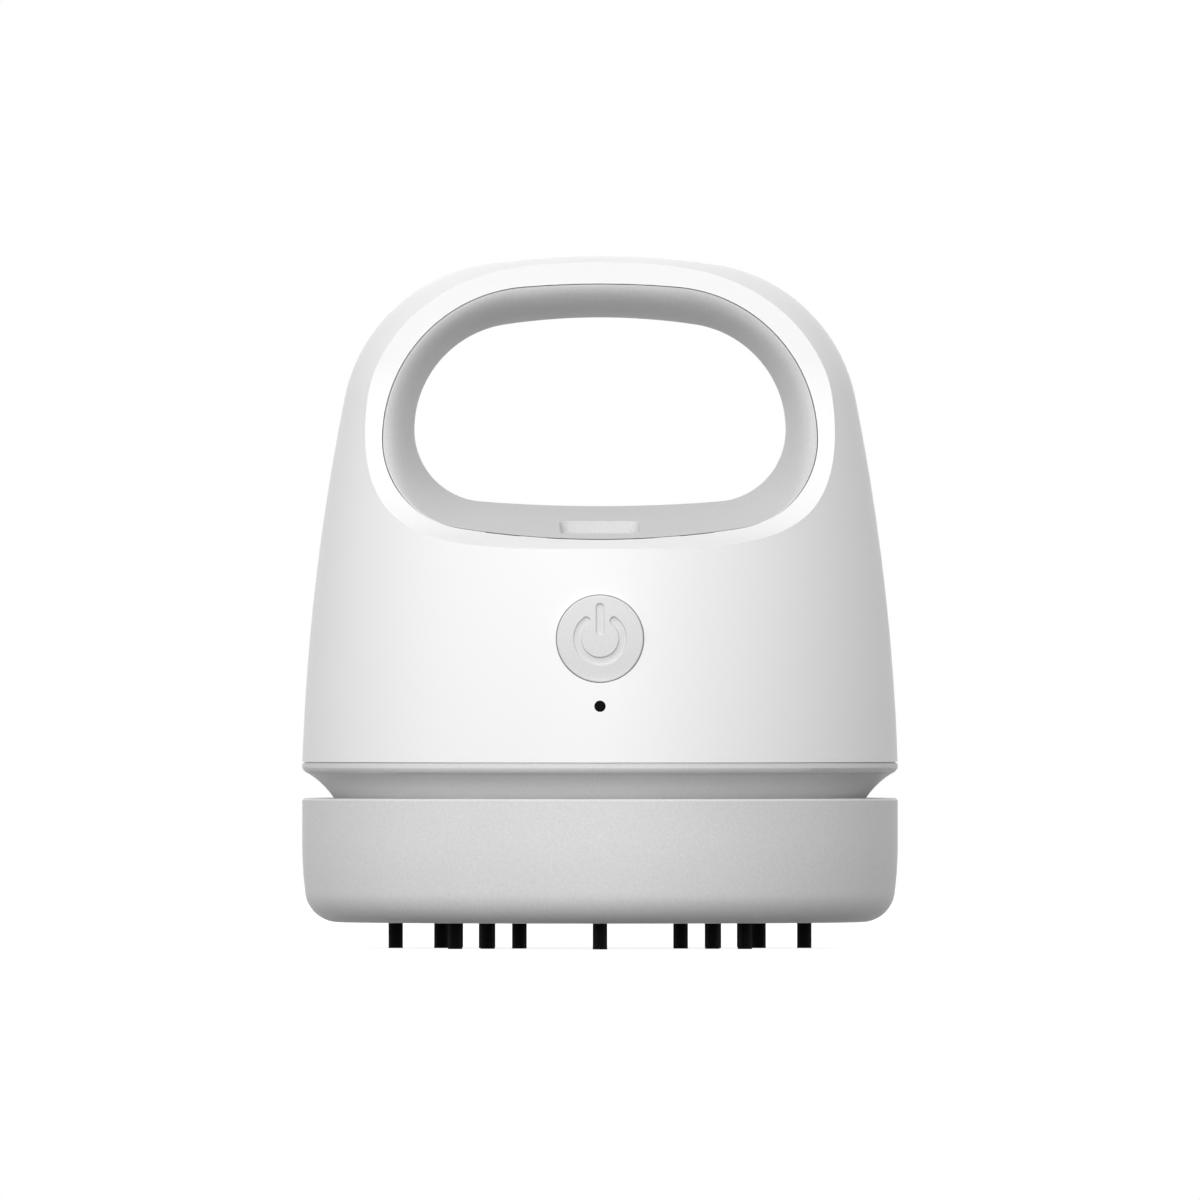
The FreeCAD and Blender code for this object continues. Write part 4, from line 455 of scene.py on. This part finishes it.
button_low, button_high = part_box("power_button")
button_height = (button_low.z + button_high.z) / 2
button_face = button_low.y
button_back = button_high.y
flange_radius = (button_high.x - button_low.x) / 2
flange_width = 1.4 * mm
cap_radius = flange_radius - flange_width
cap_edge = 0.3 * mm
dome_fall = 0.3 * mm
flange_front = -37.65 * mm
cap_foot = flange_front - 0.1 * mm
pole_radius = 0.04 * mm
sign_radius, sign_gap = 3.25 * mm, math.radians(38)
bar_low, bar_high = 1.1 * mm, 4.5 * mm
sign_half_stroke = 0.55 * mm
sign_depth = 0.4 * mm
sign_slope = 0.16 * mm
sides = 288
turns = np.linspace(0, 2 * math.pi, sides, endpoint=False)
face_rings = np.linspace(pole_radius, cap_radius - cap_edge, 100)
edge_turns = np.radians(np.linspace(0, 90, 9))[1:]
edge_radii = cap_radius - cap_edge + cap_edge * np.sin(edge_turns)
edge_falls = cap_edge * (1 - np.cos(edge_turns))
across = face_rings[:, None] * np.sin(turns)
up = face_rings[:, None] * np.cos(turns)
off_sign = sign_distance(across, up, sign_radius, sign_gap, bar_low, bar_high)
sunk = sign_depth * smooth_step((sign_half_stroke - off_sign) / sign_slope + 0.5)
domed = dome_fall * (face_rings[:, None] / face_rings[-1]) ** 2
face = np.stack([across, button_face + domed + sunk, button_height + up], axis=-1)
side_radii = np.concatenate([edge_radii, [cap_radius, cap_radius, flange_radius, flange_radius]])
side_depths = np.concatenate([
    button_face + dome_fall + edge_falls, [cap_foot, flange_front, flange_front, button_back],
])
side = np.stack([
    side_radii[:, None] * np.sin(turns),
    np.broadcast_to(side_depths[:, None], (len(side_radii), sides)),
    button_height + side_radii[:, None] * np.cos(turns),
], axis=-1)
button = surface("button_cap", np.concatenate([face, side]))
button_finish = moulded("button_plastic", (0.71, 0.71, 0.71), 0.5, 0.3 * mm, 0.008 * mm, 0.1)
finished(button, button_finish, "button", "button_grey", "power_button")

# Indicator: a small light pipe, moulded from smoked plastic and pressed into the shell under the
# button. Its face is satin, and it looks black while the diode behind it is off.
lens_finish = bpy.data.materials.new("smoked_lens")
nodes = Nodes(lens_finish)
place = nodes.add("TexCoord", output="Object")
cloud = nodes.add("TexNoise", inputs={"Vector": place, "Scale": 1 / (0.6 * mm)})
smoke = nodes.add("Mix", {"data_type": "RGBA"}, {0: cloud, 6: grey(0.001), 7: grey(0.003)}, 2)
skin = nodes.add("BsdfPrincipled", inputs={
    "Base Color": smoke,
    "Roughness": cloud * 0.1 + 0.25,
    "Specular IOR Level": 0.02,
})
nodes.add("OutputMaterial", inputs={"Surface": skin})
dress(lens_finish, "indicator_lens")


# Bristles: eight rows of three tufts, each a round bundle of straight black nylon filaments folded
# into its hole in the plate and cut level. The filaments stand in rings about the tuft's middle, six
# more in each, and lean a little at random.
def nylon(name, tone, roughness):
    """Drawn nylon: near black, with a faint sheen that runs along each filament."""
    material = bpy.data.materials.new(name)
    nodes = Nodes(material)
    place = nodes.add("TexCoord", output="Object")
    stretched = nodes.add("Mapping", inputs={"Vector": place, "Scale": (1, 1, 0.15)})
    streak = nodes.add("TexNoise", inputs={"Vector": stretched, "Scale": 1 / (0.2 * mm), "Detail": 2})
    colour = nodes.add("Mix", {"data_type": "RGBA"}, {
        0: streak, 6: grey(tone * 0.6), 7: grey(tone * 1.6),
    }, 2)
    skin = nodes.add("BsdfPrincipled", inputs={
        "Base Color": colour, "Roughness": roughness + (streak - 0.5) * 0.2, "Specular IOR Level": 0.06,
    })
    nodes.add("OutputMaterial", inputs={"Surface": skin})
    return material


def tubes(name, rings):
    """A mesh of many tubes, from an array of tubes by rings by sides, each end closed by one face."""
    count, rows, sides = rings.shape[:3]
    corners = np.arange(rows * sides).reshape(rows, sides)
    beside = np.roll(corners, -1, axis=1)
    walls = np.stack([corners[:-1], beside[:-1], beside[1:], corners[1:]], axis=-1).reshape(-1, 4)
    firsts = (np.arange(count) * rows * sides)[:, None, None]
    faces = (walls + firsts).reshape(-1, 4).tolist()
    faces += (corners[0, ::-1] + firsts[:, 0]).tolist()
    faces += (corners[-1] + firsts[:, 0]).tolist()
    mesh = bpy.data.meshes.new(name)
    mesh.from_pydata(rings.reshape(-1, 3).tolist(), [], faces)
    mesh.update()
    return put(name, mesh)


bristle_finish = nylon("bristle_nylon", 0.003, 0.5)
tuft_radius = 1.05 * mm
tuft_distances = np.array([16.45, 22.9, 29.5]) * mm
tuft_rings = 5
filament_radius = 0.09 * mm
filament_sides = 6
filament_levels = 4
lean = 0.01 * mm
pitch = (tuft_radius - filament_radius - lean) / tuft_rings
spots = [(0, 0)]
for ring in range(1, tuft_rings + 1):
    angles = np.linspace(0, 2 * math.pi, 6 * ring, endpoint=False)
    spots += [(ring * pitch * math.cos(angle), ring * pitch * math.sin(angle)) for angle in angles]
around = np.arange(filament_sides) * 2 * math.pi / filament_sides
rim = filament_radius * np.stack([np.cos(around), np.sin(around)], axis=-1)
chance = np.random.default_rng(7)
for row in range(8):
    low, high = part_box(f"brush_row_{row + 1}")
    levels = np.linspace(0, 1, filament_levels)
    angle = row * math.pi / 4
    centres = tuft_distances[:, None] * np.array([math.cos(angle), math.sin(angle)])
    roots = centres[:, None] + np.array(spots)
    tips = roots + chance.uniform(-lean, lean, roots.shape) / math.sqrt(2)
    bases = roots[:, :, None] + (tips - roots)[:, :, None] * levels[:, None]
    flat = bases[:, :, :, None] + rim
    depths = (high.z + (low.z - high.z) * levels)[:, None, None]
    heights = np.broadcast_to(depths, flat.shape[:-1] + (1,))
    points = np.concatenate([flat, heights], axis=-1).reshape(-1, filament_levels, filament_sides, 3)
    bristles = tubes(f"bristles_{row + 1}", points[:, ::-1])
    finished(bristles, bristle_finish, "cup", "black_nylon", f"brush_row_{row + 1}")


# Metal inside and underneath: the drawn steel can of the motor, its shaft and the screws, and the
# brass bushes and terminals. Fine scratches from turning and drawing break up their gloss.
def metal(name, tone, roughness):
    """Turned or drawn metal: fine scratches, stretched round the part, break up its gloss."""
    material = bpy.data.materials.new(name)
    nodes = Nodes(material)
    place = nodes.add("TexCoord", output="Object")
    stretched = nodes.add("Mapping", inputs={"Vector": place, "Scale": (0.2, 0.2, 1)})
    scratch = nodes.add("TexNoise", inputs={"Vector": stretched, "Scale": 1 / (0.12 * mm), "Detail": 4})
    skin = nodes.add("BsdfPrincipled", inputs={
        "Base Color": (*tone, 1),
        "Metallic": 1,
        "Roughness": roughness + (scratch - 0.5) * 0.25,
        "Normal": nodes.add("Bump", inputs={"Distance": 0.002 * mm, "Height": scratch}),
    })
    nodes.add("OutputMaterial", inputs={"Surface": skin})
    return material


steel_finish = metal("steel", (0.62, 0.62, 0.63), 0.32)
dress(steel_finish, "liner_screws", "shell_screws", "floor_screws", "motor_can", "motor_screws",
      "cradle_screws", "board_screws", "charge_port", "charge_board_screws", "motor_shaft",
      "motor_armature")
brass_finish = metal("brass", (0.78, 0.62, 0.32), 0.3)
dress(brass_finish, "motor_bush_lower", "motor_bush_upper", "motor_terminals")

# Plate screws: four pan heads under the plate, each with a cross recess that narrows as it deepens,
# on a shank that ends in a cone. Each screw is one surface of rings about its own axis.
def cross_depth(across, along, reach, half_slot, depth, slope):
    """How deep a cross recess is: two slots cross, and their walls slope inwards."""
    one = np.maximum(np.abs(across) - reach, np.abs(along) - half_slot)
    other = np.maximum(np.abs(along) - reach, np.abs(across) - half_slot)
    return depth * smooth_step(-np.minimum(one, other) / slope)


screws_low, screws_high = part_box("plate_screws")
screw_circle, first_angle = 34 * mm, 22.5
head_radius = 1.7 * mm
head_edge = 0.3 * mm
head_height = 0.8 * mm
shank_radius = 0.9 * mm
screw_pole = 0.02 * mm
shoulder = 0.01 * mm
slot_reach, slot_half, slot_depth, slot_slope = 0.95 * mm, 0.26 * mm, 0.55 * mm, 0.22 * mm
tip_length = 0.9 * mm
screw_sides = 96
turns = np.linspace(0, 2 * math.pi, screw_sides, endpoint=False)
flat_rings = np.linspace(screw_pole, head_radius - head_edge, 48)
edge_turns = np.radians(np.linspace(0, 90, 6))[1:]
radii = np.concatenate([
    flat_rings,
    head_radius - head_edge + head_edge * np.sin(edge_turns),
    [head_radius, head_radius, shank_radius, shank_radius, shank_radius, screw_pole],
])
lifts = np.concatenate([
    np.zeros_like(flat_rings),
    head_edge * (1 - np.cos(edge_turns)),
    [head_height - shoulder, head_height, head_height, head_height + shoulder],
    [screws_high.z - screws_low.z - tip_length, screws_high.z - screws_low.z],
])
across = radii[:, None] * np.cos(turns)
along = radii[:, None] * np.sin(turns)
recess = cross_depth(across, along, slot_reach, slot_half, slot_depth, slot_slope)
recess[len(flat_rings):] = 0
screws = []
for quarter in range(4):
    angle = math.radians(first_angle + 90 * quarter)
    centre_x, centre_y = screw_circle * math.cos(angle), screw_circle * math.sin(angle)
    heights = screws_low.z + lifts[:, None] + recess
    screws.append(np.stack([centre_x + across, centre_y + along, heights], axis=-1))
finished(tubes("plate_screw_heads", np.array(screws)), steel_finish, "cup", "steel", "plate_screws")

# Contacts: twelve gold-plated pads on each face of the tongue in the charging receptacle. They are
# stamped from thin strip and moulded into the tongue.
port_low, port_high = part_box("charge_port")
tongue_middle = (port_low.z + port_high.z) / 2
tongue_half, tongue_setback = 0.35 * mm, 1.1 * mm
pad_count = 12
pad_pitch, pad_half_width, pad_length, pad_rise = 0.5 * mm, 0.125 * mm, 3.2 * mm, 0.03 * mm
pad_end = port_high.y - tongue_setback
pads = []
for face in (-1, 1):
    under = tongue_middle + face * tongue_half - pad_rise
    over = tongue_middle + face * tongue_half + pad_rise
    for middle in (np.arange(pad_count) - (pad_count - 1) / 2) * pad_pitch:
        left, right = middle - pad_half_width, middle + pad_half_width
        section = [(right, under), (right, over), (left, over), (left, under)]
        pads.append([[(x, y, z) for x, z in section] for y in (pad_end, pad_end - pad_length)])
finished(tubes("port_contacts", np.array(pads)), brass_finish, "housing", "brass")

# Rubber: the seal ring on the spigot, the plate's gasket and the motor's sleeve, all dull and dark.
# Each is moulded in one piece and held by its own stretch or by what clamps it.
rubber_finish = moulded("soft_rubber", (0.035, 0.035, 0.036), 0.75, 0.2 * mm, 0.006 * mm, 0.15)
dress(rubber_finish, "seal_ring", "plate_gasket", "motor_sleeve")

# Black nylon mouldings: the fan, which is pressed on the shaft, the motor's end cap, the cell's strap
# and the switch with its plunger.
black_finish = moulded("black_moulding", (0.02, 0.02, 0.021), 0.45, 0.25 * mm, 0.006 * mm, 0.1)
dress(black_finish, "impeller", "motor_end_cap", "battery_strap", "tact_switch", "switch_plunger")

# Filter: off-white paper, folded into pleats and bonded into its spoked frame. Its fibres show as
# fine specks.
paper_finish = moulded("filter_paper", (0.80, 0.80, 0.74), 0.85, 0.15 * mm, 0.02 * mm, 0.08)
dress(paper_finish, "filter_media")

# Magnets: two arcs of ferrite, pressed and sintered, that line the motor's can. They are dark and
# slightly rough.
dress(moulded("ferrite", (0.05, 0.05, 0.055), 0.6, 0.15 * mm, 0.01 * mm, 0.2), "motor_magnets")

# Cell: a rechargeable cell in a plain blue shrink sleeve, glossy and drawn tight. It lies in its
# cradle under the strap.
dress(moulded("shrink_sleeve", (0.05, 0.16, 0.36), 0.28, 2 * mm, 0.01 * mm, 0.08), "battery_cell")

# Light: the diode behind the lens, in a small white moulded body. It shines into the light pipe from
# its back end.
dress(moulded("diode_body", (0.8, 0.8, 0.76), 0.4, 0.2 * mm, 0.003 * mm, 0.03), "indicator_led")

# Boards: glass cloth bonded with resin, under green lacquer, each held by two screws. The threads of
# the cloth show as a fine check.
board_finish = bpy.data.materials.new("board_lacquer")
nodes = Nodes(board_finish)
place = nodes.add("TexCoord", output="Object")
weave = nodes.add("TexChecker", inputs={"Vector": place, "Scale": 1 / (0.4 * mm)}, output="Fac")
lacquer = nodes.add("BsdfPrincipled", inputs={
    "Base Color": nodes.add("Mix", {"data_type": "RGBA"}, {
        0: weave, 6: (0.012, 0.10, 0.045, 1), 7: (0.016, 0.13, 0.06, 1),
    }, 2),
    "Roughness": 0.3,
    "Coat Weight": 0.4,
})
nodes.add("OutputMaterial", inputs={"Surface": lacquer})
dress(board_finish, "control_board", "charge_board")

# Leads: two soft sheathed wires to each part, red on the right and black on the left. Their ends are
# soldered down.
lead_finish = bpy.data.materials.new("lead_sheath")
nodes = Nodes(lead_finish)
place = nodes.add("TexCoord", output="Object")
side_of = nodes.add("SeparateXYZ", inputs={0: place}, output="X")
wax = nodes.add("TexNoise", inputs={"Vector": place, "Scale": 1 / (0.5 * mm)})
sheath = nodes.add("BsdfPrincipled", inputs={
    "Base Color": nodes.add("Mix", {"data_type": "RGBA"}, {
        0: side_of > 0, 6: (0.015, 0.015, 0.015, 1), 7: (0.42, 0.02, 0.015, 1),
    }, 2),
    "Roughness": wax * 0.2 + 0.35,
})
nodes.add("OutputMaterial", inputs={"Surface": sheath})
leads = [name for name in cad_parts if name.endswith("_leads")]
dress(lead_finish, *leads)

low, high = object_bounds()
